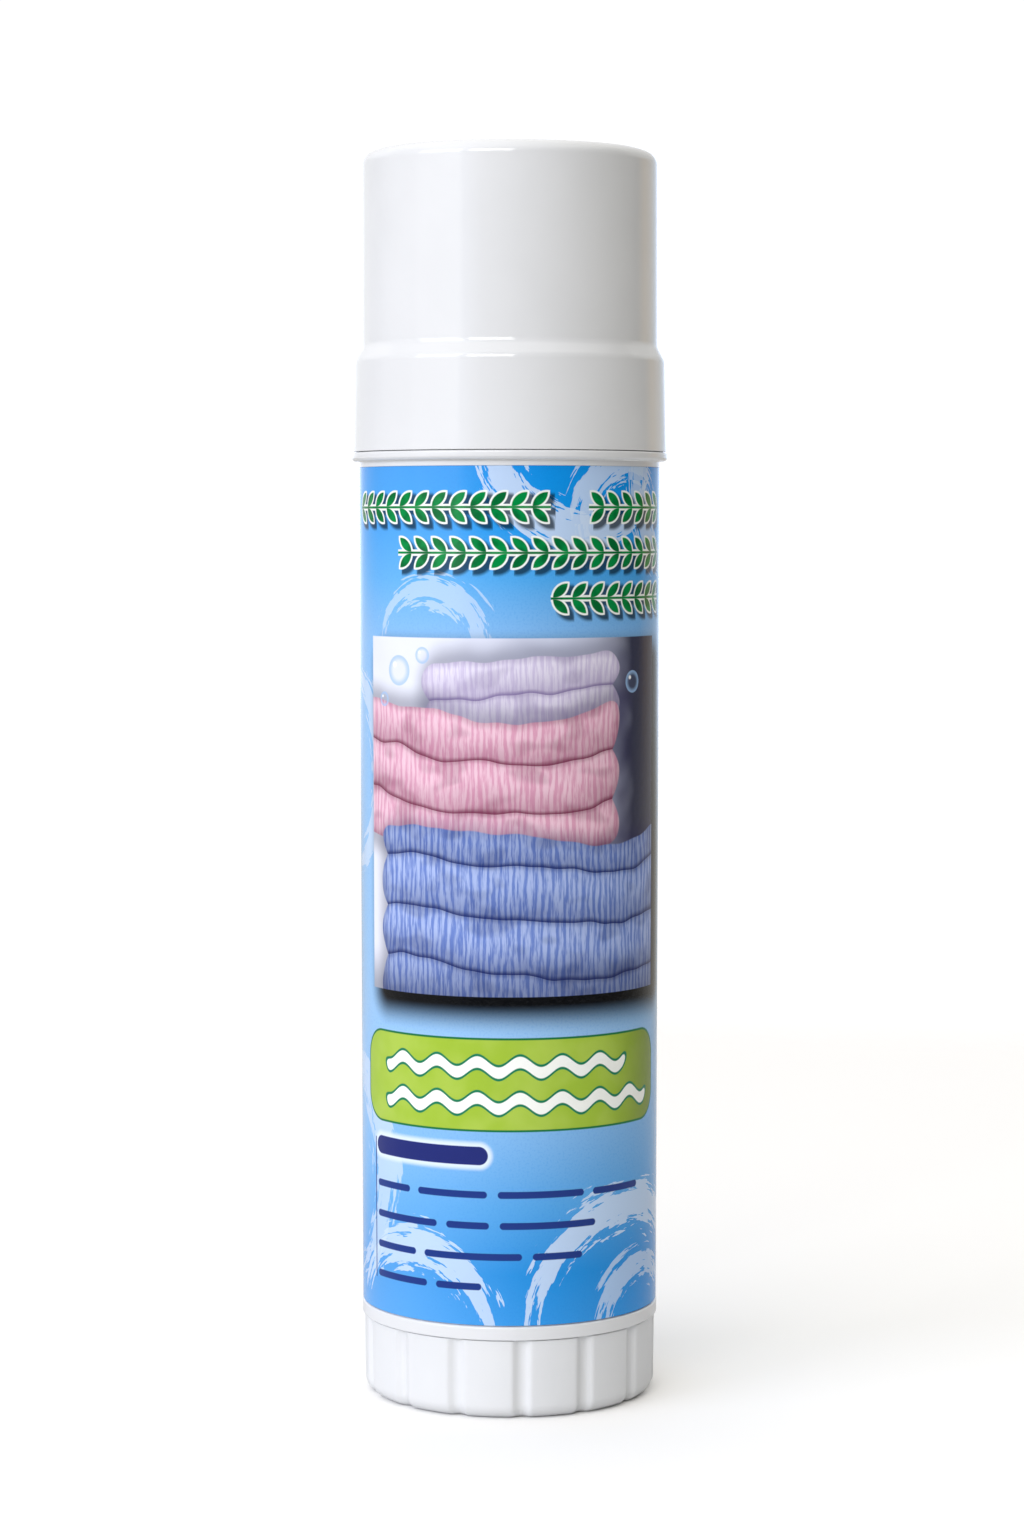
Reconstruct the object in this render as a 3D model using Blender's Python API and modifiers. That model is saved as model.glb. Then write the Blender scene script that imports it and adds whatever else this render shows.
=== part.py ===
"""A twist-up stain remover stick: turning the dial drives a coarse screw that lifts the cake.

Metres, +Z up, with the origin at the middle of the foot and the tube's axis along Z. At rest
the cap is on and the cake is fully down. The sizes grow outwards from the cake and upwards
from the foot, so each piece takes its fit from the one that it sits in.
"""

import math

import bmesh
import bpy
from mathutils import Matrix, Vector

OBJECT_NAME = "stain_remover_stick"

# Clearances between separate pieces
SEAT_GAP = 0.0003
CAP_GAP = 0.00025
CAP_SEAT_GAP = 0.0002
SLIDE_GAP = 0.0003
THREAD_GAP = 0.00025
SNAP_GAP = 0.0001
LABEL_GAP = 0.0001
DIAL_TOP_GAP = 0.00027
LIP_GAP = 0.0003

# The cake
STICK_RADIUS = 0.0126
STICK_CROWN_RADIUS = 0.0022
STICK_HEADROOM = 0.0011
STICK_BORE_GAP = 0.0004
SPINDLE_COVER = 0.0092

# The barrel, from its mouth down
GUIDE_RIB_HEIGHT = 0.0006
GUIDE_RIB_WIDTH = 0.0014
GUIDE_RIB_RUN_OUT = 0.0006
NECK_WALL = 0.0009
NECK_HEIGHT = 0.0281
LIP_ROUND = 0.0004
NECK_ROOT_RISE = 0.00045
NECK_ROOT_HEIGHT = 0.0085
NECK_BEAD_RISE = 0.00025
NECK_BEAD_HEIGHT = 0.0012
NECK_BEAD_LEVEL = 0.0045
COLLAR_OVERHANG = 0.00005
COLLAR_RIM = 0.0005
COLLAR_SLOPE = 0.00022
COLLAR_UNDERCUT = 0.00024
SHOULDER_HEIGHT = 0.0005
SHOULDER_EASE = 0.00015
BODY_WALL = 0.00197
BODY_DRAFT = 0.00017
RING_RISE = 0.0003
RING_HEIGHT = 0.00145
RING_ROUND = 0.0003
BULKHEAD_THICKNESS = 0.0015
SPIGOT_WALL = 0.001
SPIGOT_BEAD_RISE = 0.00045
SPIGOT_BEAD_HEIGHT = 0.0008
SPIGOT_BEAD_LEVEL = 0.0003

# The label, a film with its end lapped over its start
LABEL_HEIGHT = 0.0877
LABEL_FILM = 0.00015
LABEL_MARGIN = 0.00012
LAP_LENGTH = 0.0035
LAP_ANGLE = math.radians(125)

# The cap
CAP_WALL = 0.0008
CAP_DRAFT = 0.00005
CAP_ROOF = 0.0013
CAP_EDGE_ROUND = 0.001
CAP_STEP_RISE = 0.0013
CAP_STEP_ROUND = 0.00035
SKIRT_WALL = 0.0008
SKIRT_HEIGHT = 0.0094
SKIRT_FLARE = 0.00015
SKIRT_EDGE_ROUND = 0.0002
PAD_RISE = 0.0003
PAD_WIDTH = 0.003
PAD_HEIGHT = 0.0008
PAD_DROP = 0.0018
PAD_COUNT = 6
LINER_THICKNESS = 0.001

# The dial
DIAL_HEIGHT = 0.008
DIAL_INSET = 0.00025
DIAL_DRAFT = 0.00007
DIAL_WALL = 0.0013
DIAL_FLOOR = 0.001
DIAL_EDGE_ROUND = 0.0005
DIAL_TOP_EASE = 0.0001
FOOT_RECESS = 0.0006
FOOT_WIDTH = 0.0035
FLUTE_COUNT = 14
FLUTE_RADIUS = 0.0011
FLUTE_DEPTH = 0.00045
FLUTE_TURN = math.radians(4.75)
DIAL_BEAD_RISE = 0.0005
DIAL_BEAD_HEIGHT = 0.0007
DIAL_BEAD_LEAD = 0.0005
DIAL_RIB_COUNT = 8
DIAL_RIB_HEIGHT = 0.0012
DIAL_RIB_THICKNESS = 0.0009
HUB_WALL = 0.0014
HUB_HEIGHT = 0.0068

# The spindle and its washer
THREAD_LEAD = 0.006
THREAD_CORE_RADIUS = 0.0025
THREAD_DEPTH = 0.0012
THREAD_ROOT_WIDTH = 0.0026
THREAD_CREST_WIDTH = 0.0011
THREAD_RUN_IN = 0.00123
JOURNAL_STEP = 0.0005
JOURNAL_STANDING = 0.0002
SPINDLE_FLANGE_WIDTH = 0.0022
SPINDLE_FLANGE_THICKNESS = 0.001
FOOT_CORE_RADIUS = 0.003
SPLINE_DEPTH = 0.0007
SPLINE_WIDTH = 0.0012
SPLINE_COUNT = 6
WASHER_THICKNESS = 0.0008
WASHER_INSET = 0.0002

# The carrier
CARRIER_LIFT = 0.0005
CARRIER_WALL = 0.0013
CARRIER_SKIRT = 0.0052
CARRIER_PLATE = 0.0013
CUP_DEPTH = 0.0055
NUT_WALL = 0.0013
NUT_COLLAR = 0.003
NUT_HOLD = 0.008
CARRIER_RIB_COUNT = 6
CARRIER_RIB_THICKNESS = 0.001
CARRIER_RIB_RISE = 0.0006
GRIP_RIB_HEIGHT = 0.0005
GRIP_RIB_WIDTH = 0.001
GRIP_RIB_COUNT = 6
NUT_COLLAR_CHAMFER = 0.0003

# How far a cutter or a joined piece runs past what it meets
OVERRUN = 0.0005
WELD_DISTANCE = 0.0000001

# Facets round a turned piece
SHELL_STEPS = 52
INNER_STEPS = 36
THREAD_STEPS = 16
FLUTE_SIDES = 12
ARC_STEPS = 3
GUIDE_RIB_COUNT = 4
TURN = math.tau

# Radii, from the cake outwards
THREAD_CREST_RADIUS = THREAD_CORE_RADIUS + THREAD_DEPTH
BORE_RADIUS = STICK_RADIUS + SLIDE_GAP + GUIDE_RIB_HEIGHT
NECK_RADIUS = BORE_RADIUS + NECK_WALL
NECK_ROOT_RADIUS = NECK_RADIUS + NECK_ROOT_RISE
NECK_BEAD_RADIUS = NECK_ROOT_RADIUS + NECK_BEAD_RISE
CAP_BORE_RADIUS = NECK_RADIUS + CAP_GAP
PAD_RADIUS = NECK_BEAD_RADIUS + SNAP_GAP
SKIRT_BORE_RADIUS = PAD_RADIUS + PAD_RISE
SKIRT_RADIUS = SKIRT_BORE_RADIUS + SKIRT_WALL
COLLAR_RADIUS = SKIRT_RADIUS + SKIRT_FLARE + COLLAR_OVERHANG
PANEL_TOP_RADIUS = BORE_RADIUS + BODY_WALL
PANEL_FOOT_RADIUS = PANEL_TOP_RADIUS - BODY_DRAFT
RING_RADIUS = PANEL_FOOT_RADIUS + RING_RISE
DIAL_RADIUS = RING_RADIUS - DIAL_INSET
DIAL_FOOT_RADIUS = DIAL_RADIUS - DIAL_DRAFT
DIAL_BORE_RADIUS = DIAL_RADIUS - DIAL_WALL
DIAL_BEAD_RADIUS = DIAL_BORE_RADIUS - DIAL_BEAD_RISE
SPIGOT_BEAD_RADIUS = DIAL_BORE_RADIUS - SLIDE_GAP
SPIGOT_RADIUS = SPIGOT_BEAD_RADIUS - SPIGOT_BEAD_RISE
SPIGOT_BORE_RADIUS = SPIGOT_RADIUS - SPIGOT_WALL
JOURNAL_RADIUS = THREAD_CREST_RADIUS + JOURNAL_STEP
BEARING_RADIUS = JOURNAL_RADIUS + SLIDE_GAP
SPINDLE_FLANGE_RADIUS = JOURNAL_RADIUS + SPINDLE_FLANGE_WIDTH
SPLINE_RADIUS = FOOT_CORE_RADIUS + SPLINE_DEPTH
SOCKET_RADIUS = SPLINE_RADIUS + SLIDE_GAP
HUB_RADIUS = SOCKET_RADIUS + HUB_WALL
CARRIER_RADIUS = BORE_RADIUS - SLIDE_GAP
CUP_RADIUS = CARRIER_RADIUS - CARRIER_WALL
NUT_RADIUS = THREAD_CREST_RADIUS + THREAD_GAP + NUT_WALL
STICK_FOOT_RADIUS = CUP_RADIUS - GRIP_RIB_HEIGHT - SEAT_GAP
STICK_BORE_RADIUS = THREAD_CREST_RADIUS + STICK_BORE_GAP
LINER_RADIUS = CAP_BORE_RADIUS - SEAT_GAP

# Levels of the dial, the spindle's foot and the bulkhead, from the floor up
DIAL_FLOOR_TOP = FOOT_RECESS + DIAL_FLOOR
DIAL_RIB_TOP = DIAL_FLOOR_TOP + DIAL_RIB_HEIGHT
SPIGOT_FOOT = DIAL_RIB_TOP + SEAT_GAP
SPIGOT_BEAD_TOP = SPIGOT_FOOT + SPIGOT_BEAD_LEVEL + SPIGOT_BEAD_HEIGHT
DIAL_BEAD_FOOT = SPIGOT_BEAD_TOP + SEAT_GAP
HUB_TOP = DIAL_FLOOR_TOP + HUB_HEIGHT
SPINDLE_FOOT = DIAL_FLOOR_TOP + SEAT_GAP
SPINDLE_FLANGE_FOOT = HUB_TOP + SEAT_GAP
SPINDLE_FLANGE_TOP = SPINDLE_FLANGE_FOOT + SPINDLE_FLANGE_THICKNESS
WASHER_FOOT = SPINDLE_FLANGE_TOP + SEAT_GAP
WASHER_TOP = WASHER_FOOT + WASHER_THICKNESS
BULKHEAD_FOOT = WASHER_TOP + SEAT_GAP
BULKHEAD_TOP = BULKHEAD_FOOT + BULKHEAD_THICKNESS
JOURNAL_TOP = BULKHEAD_TOP + JOURNAL_STANDING
THREAD_LEVEL = BULKHEAD_TOP + THREAD_RUN_IN

# Levels of the barrel's outside and of the cap
RING_FOOT = DIAL_HEIGHT + DIAL_TOP_GAP
RING_TOP = RING_FOOT + RING_HEIGHT
LABEL_FOOT = RING_TOP + LABEL_MARGIN
LABEL_TOP = LABEL_FOOT + LABEL_HEIGHT
COLLAR_FOOT = LABEL_TOP + SHOULDER_HEIGHT
COLLAR_RIM_FOOT = COLLAR_FOOT + COLLAR_UNDERCUT
COLLAR_RIM_TOP = COLLAR_RIM_FOOT + COLLAR_RIM
COLLAR_TOP = COLLAR_RIM_TOP + COLLAR_SLOPE
MOUTH = COLLAR_TOP + NECK_HEIGHT
NECK_ROOT_TOP = COLLAR_TOP + NECK_ROOT_HEIGHT
NECK_BEAD_MIDDLE = COLLAR_TOP + NECK_BEAD_LEVEL
SKIRT_FOOT = COLLAR_TOP + CAP_SEAT_GAP
SKIRT_TOP = SKIRT_FOOT + SKIRT_HEIGHT
CAP_STEP_TOP = SKIRT_TOP + CAP_STEP_RISE
PAD_MIDDLE = NECK_BEAD_MIDDLE - PAD_DROP
LINER_FOOT = MOUTH + LIP_GAP
LINER_TOP = LINER_FOOT + LINER_THICKNESS
CAP_CEILING = LINER_TOP + SEAT_GAP
CAP_TOP = CAP_CEILING + CAP_ROOF

# Levels of the carrier, the cake and the screw
CARRIER_FOOT = BULKHEAD_TOP + CARRIER_LIFT
PLATE_FOOT = CARRIER_FOOT + CARRIER_SKIRT
PLATE_TOP = PLATE_FOOT + CARRIER_PLATE
CUP_TOP = PLATE_TOP + CUP_DEPTH
NUT_TOP = PLATE_TOP + NUT_COLLAR
STICK_FOOT = PLATE_TOP + SEAT_GAP
STICK_SHOULDER = CUP_TOP + SEAT_GAP
STICK_TOP = LINER_FOOT - STICK_HEADROOM
SPINDLE_TOP = STICK_TOP - SPINDLE_COVER
TRAVEL = SPINDLE_TOP - NUT_HOLD - CARRIER_FOOT
GUIDE_RIB_TOP = CUP_TOP + TRAVEL + GUIDE_RIB_RUN_OUT

Z_AXIS = Vector((0, 0, 1))


def clear_scene():
    for obj in list(bpy.data.objects):
        bpy.data.objects.remove(obj, do_unlink=True)


def new_collection(name):
    collection = bpy.data.collections.new(name)
    bpy.context.scene.collection.children.link(collection)
    return collection


def plastic(name, colour, roughness):
    material = bpy.data.materials.new(name)
    material.use_nodes = True
    shader = material.node_tree.nodes["Principled BSDF"]
    shader.inputs["Base Color"].default_value = (*colour, 1)
    shader.inputs["Roughness"].default_value = roughness
    shader.inputs["Metallic"].default_value = 0
    return material


def add_object(name, mesh, collection, material=None):
    obj = bpy.data.objects.new(name, mesh)
    collection.objects.link(obj)
    if material:
        mesh.materials.append(material)
    return obj


def mesh_from(bm, name):
    bmesh.ops.recalc_face_normals(bm, faces=bm.faces)
    mesh = bpy.data.meshes.new(name)
    bm.to_mesh(mesh)
    bm.free()
    return mesh


def arc(centre, radius, start, end):
    """Points of a rounded corner in the profile's plane, with angles in degrees from +X."""
    points = []
    for step in range(ARC_STEPS + 1):
        angle = math.radians(start + (end - start) * step / ARC_STEPS)
        points.append(
            (centre[0] + radius * math.cos(angle), centre[1] + radius * math.sin(angle))
        )
    return points


def turned(name, profile, steps, collection, material=None):
    """A profile of (radius, level) points, down its outer side, turned about Z by a Screw."""
    bm = bmesh.new()
    points = [bm.verts.new((radius, 0, level)) for radius, level in profile]
    for first, second in zip(points, points[1:]):
        bm.edges.new((first, second))
    on_axis = profile[0][0] == 0 and profile[-1][0] == 0
    if not on_axis:
        bm.edges.new((points[-1], points[0]))
    mesh = bpy.data.meshes.new(name)
    bm.to_mesh(mesh)
    bm.free()
    obj = add_object(name, mesh, collection, material)
    screw = obj.modifiers.new("turn", "SCREW")
    screw.axis = "Z"
    screw.angle = TURN
    screw.steps = steps
    screw.render_steps = steps
    screw.use_merge_vertices = True
    screw.merge_threshold = WELD_DISTANCE
    return obj


def box(name, size, place, angle, collection):
    """A box of the given size, placed in the plane at +X and then turned about Z."""
    bm = bmesh.new()
    bmesh.ops.create_cube(bm, size=1)
    bmesh.ops.scale(bm, vec=Vector(size), verts=bm.verts)
    bmesh.ops.translate(bm, vec=Vector(place), verts=bm.verts)
    bmesh.ops.rotate(bm, matrix=Matrix.Rotation(angle, 3, Z_AXIS), verts=bm.verts)
    return add_object(name, mesh_from(bm, name), collection)


def rod(name, radius, foot, top, sides, place, collection):
    """An upright cylinder standing at a place in the plane of X and Y."""
    bm = bmesh.new()
    bmesh.ops.create_cone(
        bm,
        cap_ends=True,
        segments=sides,
        radius1=radius,
        radius2=radius,
        depth=top - foot,
    )
    middle = Vector((place[0], place[1], (foot + top) / 2))
    bmesh.ops.translate(bm, vec=middle, verts=bm.verts)
    return add_object(name, mesh_from(bm, name), collection)


def thread_section(clearance):
    """One lead of the thread's outline as (radius, level) points, its ridge in the middle."""
    core = THREAD_CORE_RADIUS + clearance
    crest = THREAD_CREST_RADIUS + clearance
    half_root = THREAD_ROOT_WIDTH / 2 + clearance
    half_crest = THREAD_CREST_WIDTH / 2 + clearance
    return [
        (core, -THREAD_LEAD / 2),
        (core, -half_root),
        (crest, -half_crest),
        (crest, half_crest),
        (core, half_root),
        (core, THREAD_LEAD / 2),
    ]


def threaded_rod(name, foot, top, clearance, collection):
    """The screw between two levels. Its ridge passes +X at THREAD_LEVEL, whatever the ends."""
    first_turn = math.floor((foot - THREAD_LEVEL) / THREAD_LEAD) - 1
    last_turn = math.ceil((top - THREAD_LEVEL) / THREAD_LEAD) + 1
    turns = last_turn - first_turn
    start = THREAD_LEVEL + first_turn * THREAD_LEAD
    bm = bmesh.new()
    corners = [
        bm.verts.new((radius, 0, start + level))
        for radius, level in thread_section(clearance)
    ]
    edges = [bm.edges.new(pair) for pair in zip(corners, corners[1:])]
    bmesh.ops.spin(
        bm,
        geom=[*corners, *edges],
        cent=(0, 0, 0),
        axis=Z_AXIS,
        dvec=Z_AXIS * THREAD_LEAD / THREAD_STEPS,
        angle=turns * TURN,
        steps=turns * THREAD_STEPS,
    )
    bmesh.ops.remove_doubles(bm, verts=bm.verts, dist=WELD_DISTANCE)
    for level, outwards in ((foot, -Z_AXIS), (top, Z_AXIS)):
        bmesh.ops.bisect_plane(
            bm,
            geom=[*bm.verts, *bm.edges, *bm.faces],
            dist=0,
            plane_co=Z_AXIS * level,
            plane_no=outwards,
            clear_outer=True,
        )
    bmesh.ops.holes_fill(bm, edges=[edge for edge in bm.edges if edge.is_boundary])
    return add_object(name, mesh_from(bm, name), collection)


def splined_bar(name, clearance, foot, top, collection):
    """A round bar with straight splines, extruded from its outline."""
    core = FOOT_CORE_RADIUS + clearance
    reach = SPLINE_RADIUS + clearance
    half_width = SPLINE_WIDTH / 2 + clearance
    root = math.sqrt(core**2 - half_width**2)
    pitch = TURN / SPLINE_COUNT
    bm = bmesh.new()
    outline = []
    for spline in range(SPLINE_COUNT):
        turn = Matrix.Rotation(spline * pitch, 3, Z_AXIS)
        for along, across in (
            (root, -half_width),
            (reach, -half_width),
            (reach, half_width),
            (root, half_width),
        ):
            outline.append(bm.verts.new(turn @ Vector((along, across, foot))))
        middle = Matrix.Rotation((spline + 0.5) * pitch, 3, Z_AXIS)
        outline.append(bm.verts.new(middle @ Vector((core, 0, foot))))
    face = bm.faces.new(outline)
    raised = bmesh.ops.extrude_face_region(bm, geom=[face])["geom"]
    raised_corners = [item for item in raised if isinstance(item, bmesh.types.BMVert)]
    bmesh.ops.translate(bm, vec=Z_AXIS * (top - foot), verts=raised_corners)
    return add_object(name, mesh_from(bm, name), collection)


def combine(target, others, operation):
    """Cuts or joins each of the others with an exact Boolean, and hides it as a helper."""
    for other in others:
        other.hide_render = True
        other.display_type = "WIRE"
        modifier = target.modifiers.new(f"{operation.lower()}_{other.name}", "BOOLEAN")
        modifier.object = other
        modifier.operation = operation
        modifier.solver = "EXACT"


def shade_round(obj):
    obj.data.shade_smooth()
    obj.data.set_sharp_from_angle(angle=math.radians(35))


def make_stick(parts, material):
    """The cake: a foot that fills the cup, a shoulder over its rim and a softly rounded top."""
    crown_middle = (STICK_RADIUS - STICK_CROWN_RADIUS, STICK_TOP - STICK_CROWN_RADIUS)
    bore_top = SPINDLE_TOP + STICK_BORE_GAP
    collar_radius = NUT_RADIUS + SEAT_GAP
    collar_top = NUT_TOP + SEAT_GAP
    profile = [
        (0, STICK_TOP),
        *reversed(arc(crown_middle, STICK_CROWN_RADIUS, 0, 90)),
        (STICK_RADIUS, STICK_SHOULDER),
        (STICK_FOOT_RADIUS, STICK_SHOULDER),
        (STICK_FOOT_RADIUS, STICK_FOOT),
        (collar_radius, STICK_FOOT),
        (collar_radius, collar_top),
        (STICK_BORE_RADIUS, collar_top),
        (STICK_BORE_RADIUS, bore_top),
        (0, bore_top),
    ]
    return turned("stain_stick", profile, INNER_STEPS, parts, material)


def make_barrel(parts, cutters, material):
    """Neck, collar, label panel, ring, spigot and bulkhead, with the guide ribs in the bore."""
    lip = (NECK_RADIUS - LIP_ROUND, MOUTH - LIP_ROUND)
    bead_half = NECK_BEAD_HEIGHT / 2
    ring_core = RING_RADIUS - RING_ROUND
    spigot_bead_foot = SPIGOT_FOOT + SPIGOT_BEAD_LEVEL
    profile = [
        (BORE_RADIUS, MOUTH),
        *reversed(arc(lip, LIP_ROUND, 0, 90)),
        (NECK_RADIUS, NECK_ROOT_TOP + NECK_ROOT_RISE),
        (NECK_ROOT_RADIUS, NECK_ROOT_TOP),
        (NECK_ROOT_RADIUS, NECK_BEAD_MIDDLE + bead_half),
        (NECK_BEAD_RADIUS, NECK_BEAD_MIDDLE),
        (NECK_ROOT_RADIUS, NECK_BEAD_MIDDLE - bead_half),
        (NECK_ROOT_RADIUS, COLLAR_TOP),
        (SKIRT_BORE_RADIUS, COLLAR_TOP),
        (COLLAR_RADIUS, COLLAR_RIM_TOP),
        (COLLAR_RADIUS, COLLAR_RIM_FOOT),
        (COLLAR_RADIUS - COLLAR_UNDERCUT, COLLAR_FOOT),
        (PANEL_TOP_RADIUS + SHOULDER_EASE, COLLAR_FOOT),
        (PANEL_TOP_RADIUS, LABEL_TOP),
        (PANEL_FOOT_RADIUS, LABEL_FOOT),
        (PANEL_FOOT_RADIUS, RING_TOP),
        (ring_core, RING_TOP),
        (RING_RADIUS, RING_TOP - RING_ROUND),
        (RING_RADIUS, RING_FOOT + RING_ROUND),
        (ring_core, RING_FOOT),
        (SPIGOT_RADIUS, RING_FOOT),
        (SPIGOT_RADIUS, SPIGOT_BEAD_TOP),
        (SPIGOT_BEAD_RADIUS, SPIGOT_BEAD_TOP),
        (SPIGOT_BEAD_RADIUS, spigot_bead_foot),
        (SPIGOT_RADIUS, SPIGOT_FOOT),
        (SPIGOT_BORE_RADIUS, SPIGOT_FOOT),
        (SPIGOT_BORE_RADIUS, BULKHEAD_FOOT),
        (BEARING_RADIUS, BULKHEAD_FOOT),
        (BEARING_RADIUS, BULKHEAD_TOP),
        (BORE_RADIUS, BULKHEAD_TOP),
    ]
    barrel = turned("barrel", profile, SHELL_STEPS, parts, material)
    ribs = []
    depth = GUIDE_RIB_HEIGHT + OVERRUN
    foot = BULKHEAD_TOP - OVERRUN
    for rib in range(GUIDE_RIB_COUNT):
        ribs.append(
            box(
                f"guide_rib_{rib}",
                (depth, GUIDE_RIB_WIDTH, GUIDE_RIB_TOP - foot),
                (BORE_RADIUS + OVERRUN - depth / 2, 0, (GUIDE_RIB_TOP + foot) / 2),
                guide_rib_angle(rib),
                cutters,
            )
        )
    combine(barrel, ribs, "UNION")
    return barrel


def guide_rib_angle(rib):
    return TURN * (rib + 0.5) / GUIDE_RIB_COUNT


def make_label(parts, material):
    """An open strip round the panel, thickened outwards, whose end climbs over its start."""
    foot_radius = PANEL_FOOT_RADIUS + LABEL_GAP
    top_radius = PANEL_TOP_RADIUS + LABEL_GAP
    climb = LABEL_FILM + LABEL_GAP
    step_angle = TURN / SHELL_STEPS
    lap = LAP_LENGTH / top_radius
    angles = [(step * step_angle, 0) for step in range(SHELL_STEPS)]
    angles += [(TURN, climb), (TURN + lap, climb)]
    bm = bmesh.new()
    columns = []
    for angle, rise in angles:
        across, along = math.cos(angle), math.sin(angle)
        low, high = foot_radius + rise, top_radius + rise
        columns.append(
            (
                bm.verts.new((low * across, low * along, LABEL_FOOT)),
                bm.verts.new((high * across, high * along, LABEL_TOP)),
            )
        )
    for (low_a, high_a), (low_b, high_b) in zip(columns, columns[1:]):
        bm.faces.new((low_a, low_b, high_b, high_a))
    seam = round(LAP_ANGLE / step_angle) * step_angle
    bmesh.ops.rotate(bm, matrix=Matrix.Rotation(seam, 3, Z_AXIS), verts=bm.verts)
    mesh = bpy.data.meshes.new("label")
    bm.to_mesh(mesh)
    bm.free()
    label = add_object("label", mesh, parts, material)
    film = label.modifiers.new("film", "SOLIDIFY")
    film.thickness = LABEL_FILM
    film.offset = 1
    return label


def make_cap(parts, cutters, material):
    """The cap's shell with its stepped skirt, and snap pads that pass under the neck's bead."""
    top_radius = CAP_BORE_RADIUS + CAP_WALL
    step_radius = top_radius + CAP_DRAFT
    edge = (top_radius - CAP_EDGE_ROUND, CAP_TOP - CAP_EDGE_ROUND)
    corner = (SKIRT_RADIUS - CAP_STEP_ROUND, SKIRT_TOP - CAP_STEP_ROUND)
    skirt_foot_radius = SKIRT_RADIUS + SKIRT_FLARE
    skirt_bore_foot = SKIRT_BORE_RADIUS + SKIRT_FLARE
    inner_step = SKIRT_TOP - CAP_STEP_ROUND
    profile = [
        (0, CAP_TOP),
        *reversed(arc(edge, CAP_EDGE_ROUND, 0, 90)),
        (step_radius, CAP_STEP_TOP),
        *reversed(arc(corner, CAP_STEP_ROUND, 0, 60)),
        (skirt_foot_radius, SKIRT_FOOT + SKIRT_EDGE_ROUND),
        (skirt_foot_radius - SKIRT_EDGE_ROUND, SKIRT_FOOT),
        (skirt_bore_foot, SKIRT_FOOT),
        (SKIRT_BORE_RADIUS, inner_step - CAP_WALL),
        (CAP_BORE_RADIUS + CAP_DRAFT, inner_step),
        (CAP_BORE_RADIUS, CAP_CEILING - SEAT_GAP),
        (CAP_BORE_RADIUS - SEAT_GAP, CAP_CEILING),
        (0, CAP_CEILING),
    ]
    cap = turned("cap", profile, SHELL_STEPS, parts, material)
    pads = []
    depth = PAD_RISE + OVERRUN
    for pad in range(PAD_COUNT):
        pads.append(
            box(
                f"snap_pad_{pad}",
                (depth, PAD_WIDTH, PAD_HEIGHT),
                (PAD_RADIUS + depth / 2, 0, PAD_MIDDLE),
                TURN * pad / PAD_COUNT,
                cutters,
            )
        )
    combine(cap, pads, "UNION")
    return cap


def make_cap_seal(parts, material):
    profile = [
        (0, LINER_TOP),
        (LINER_RADIUS - SEAT_GAP, LINER_TOP),
        (LINER_RADIUS, LINER_TOP - SEAT_GAP),
        (LINER_RADIUS, LINER_FOOT),
        (0, LINER_FOOT),
    ]
    return turned("cap_seal", profile, INNER_STEPS, parts, material)


def make_dial(parts, cutters, material):
    """The fluted knob: floor with a raised foot rim, hub with a splined socket, ribs and bead."""
    foot_edge = (DIAL_FOOT_RADIUS - DIAL_EDGE_ROUND, DIAL_EDGE_ROUND)
    rim_inner = DIAL_FOOT_RADIUS - DIAL_EDGE_ROUND - FOOT_WIDTH
    bead_top = DIAL_BEAD_FOOT + DIAL_BEAD_HEIGHT
    profile = [
        (0, HUB_TOP),
        (HUB_RADIUS, HUB_TOP),
        (HUB_RADIUS, DIAL_FLOOR_TOP),
        (DIAL_BORE_RADIUS, DIAL_FLOOR_TOP),
        (DIAL_BORE_RADIUS, DIAL_BEAD_FOOT - SEAT_GAP),
        (DIAL_BEAD_RADIUS, DIAL_BEAD_FOOT),
        (DIAL_BEAD_RADIUS, bead_top),
        (DIAL_BORE_RADIUS, bead_top + DIAL_BEAD_LEAD),
        (DIAL_BORE_RADIUS, DIAL_HEIGHT),
        (DIAL_RADIUS - DIAL_TOP_EASE, DIAL_HEIGHT),
        (DIAL_RADIUS, DIAL_HEIGHT - DIAL_TOP_EASE),
        *reversed(arc(foot_edge, DIAL_EDGE_ROUND, -90, 0)),
        (rim_inner, 0),
        (rim_inner - FOOT_RECESS, FOOT_RECESS),
        (0, FOOT_RECESS),
    ]
    dial = turned("dial", profile, SHELL_STEPS, parts, material)
    ribs = []
    inner, outer = HUB_RADIUS - OVERRUN, DIAL_BORE_RADIUS + OVERRUN
    foot = DIAL_FLOOR_TOP - DIAL_FLOOR / 2
    for rib in range(DIAL_RIB_COUNT):
        ribs.append(
            box(
                f"dial_rib_{rib}",
                (outer - inner, DIAL_RIB_THICKNESS, DIAL_RIB_TOP - foot),
                ((inner + outer) / 2, 0, (foot + DIAL_RIB_TOP) / 2),
                TURN * (rib + 0.5) / DIAL_RIB_COUNT,
                cutters,
            )
        )
    combine(dial, ribs, "UNION")
    socket = splined_bar(
        "socket", SLIDE_GAP, DIAL_FLOOR_TOP, HUB_TOP + OVERRUN, cutters
    )
    combine(dial, [socket], "DIFFERENCE")
    flutes = []
    middle = DIAL_RADIUS - FLUTE_DEPTH + FLUTE_RADIUS
    for flute in range(FLUTE_COUNT):
        angle = -TURN / 4 + FLUTE_TURN + TURN * flute / FLUTE_COUNT
        place = (middle * math.cos(angle), middle * math.sin(angle))
        flutes.append(
            rod(
                f"flute_{flute:02d}",
                FLUTE_RADIUS,
                -OVERRUN,
                DIAL_HEIGHT + OVERRUN,
                FLUTE_SIDES,
                place,
                cutters,
            )
        )
    combine(dial, flutes, "DIFFERENCE")
    return dial


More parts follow.
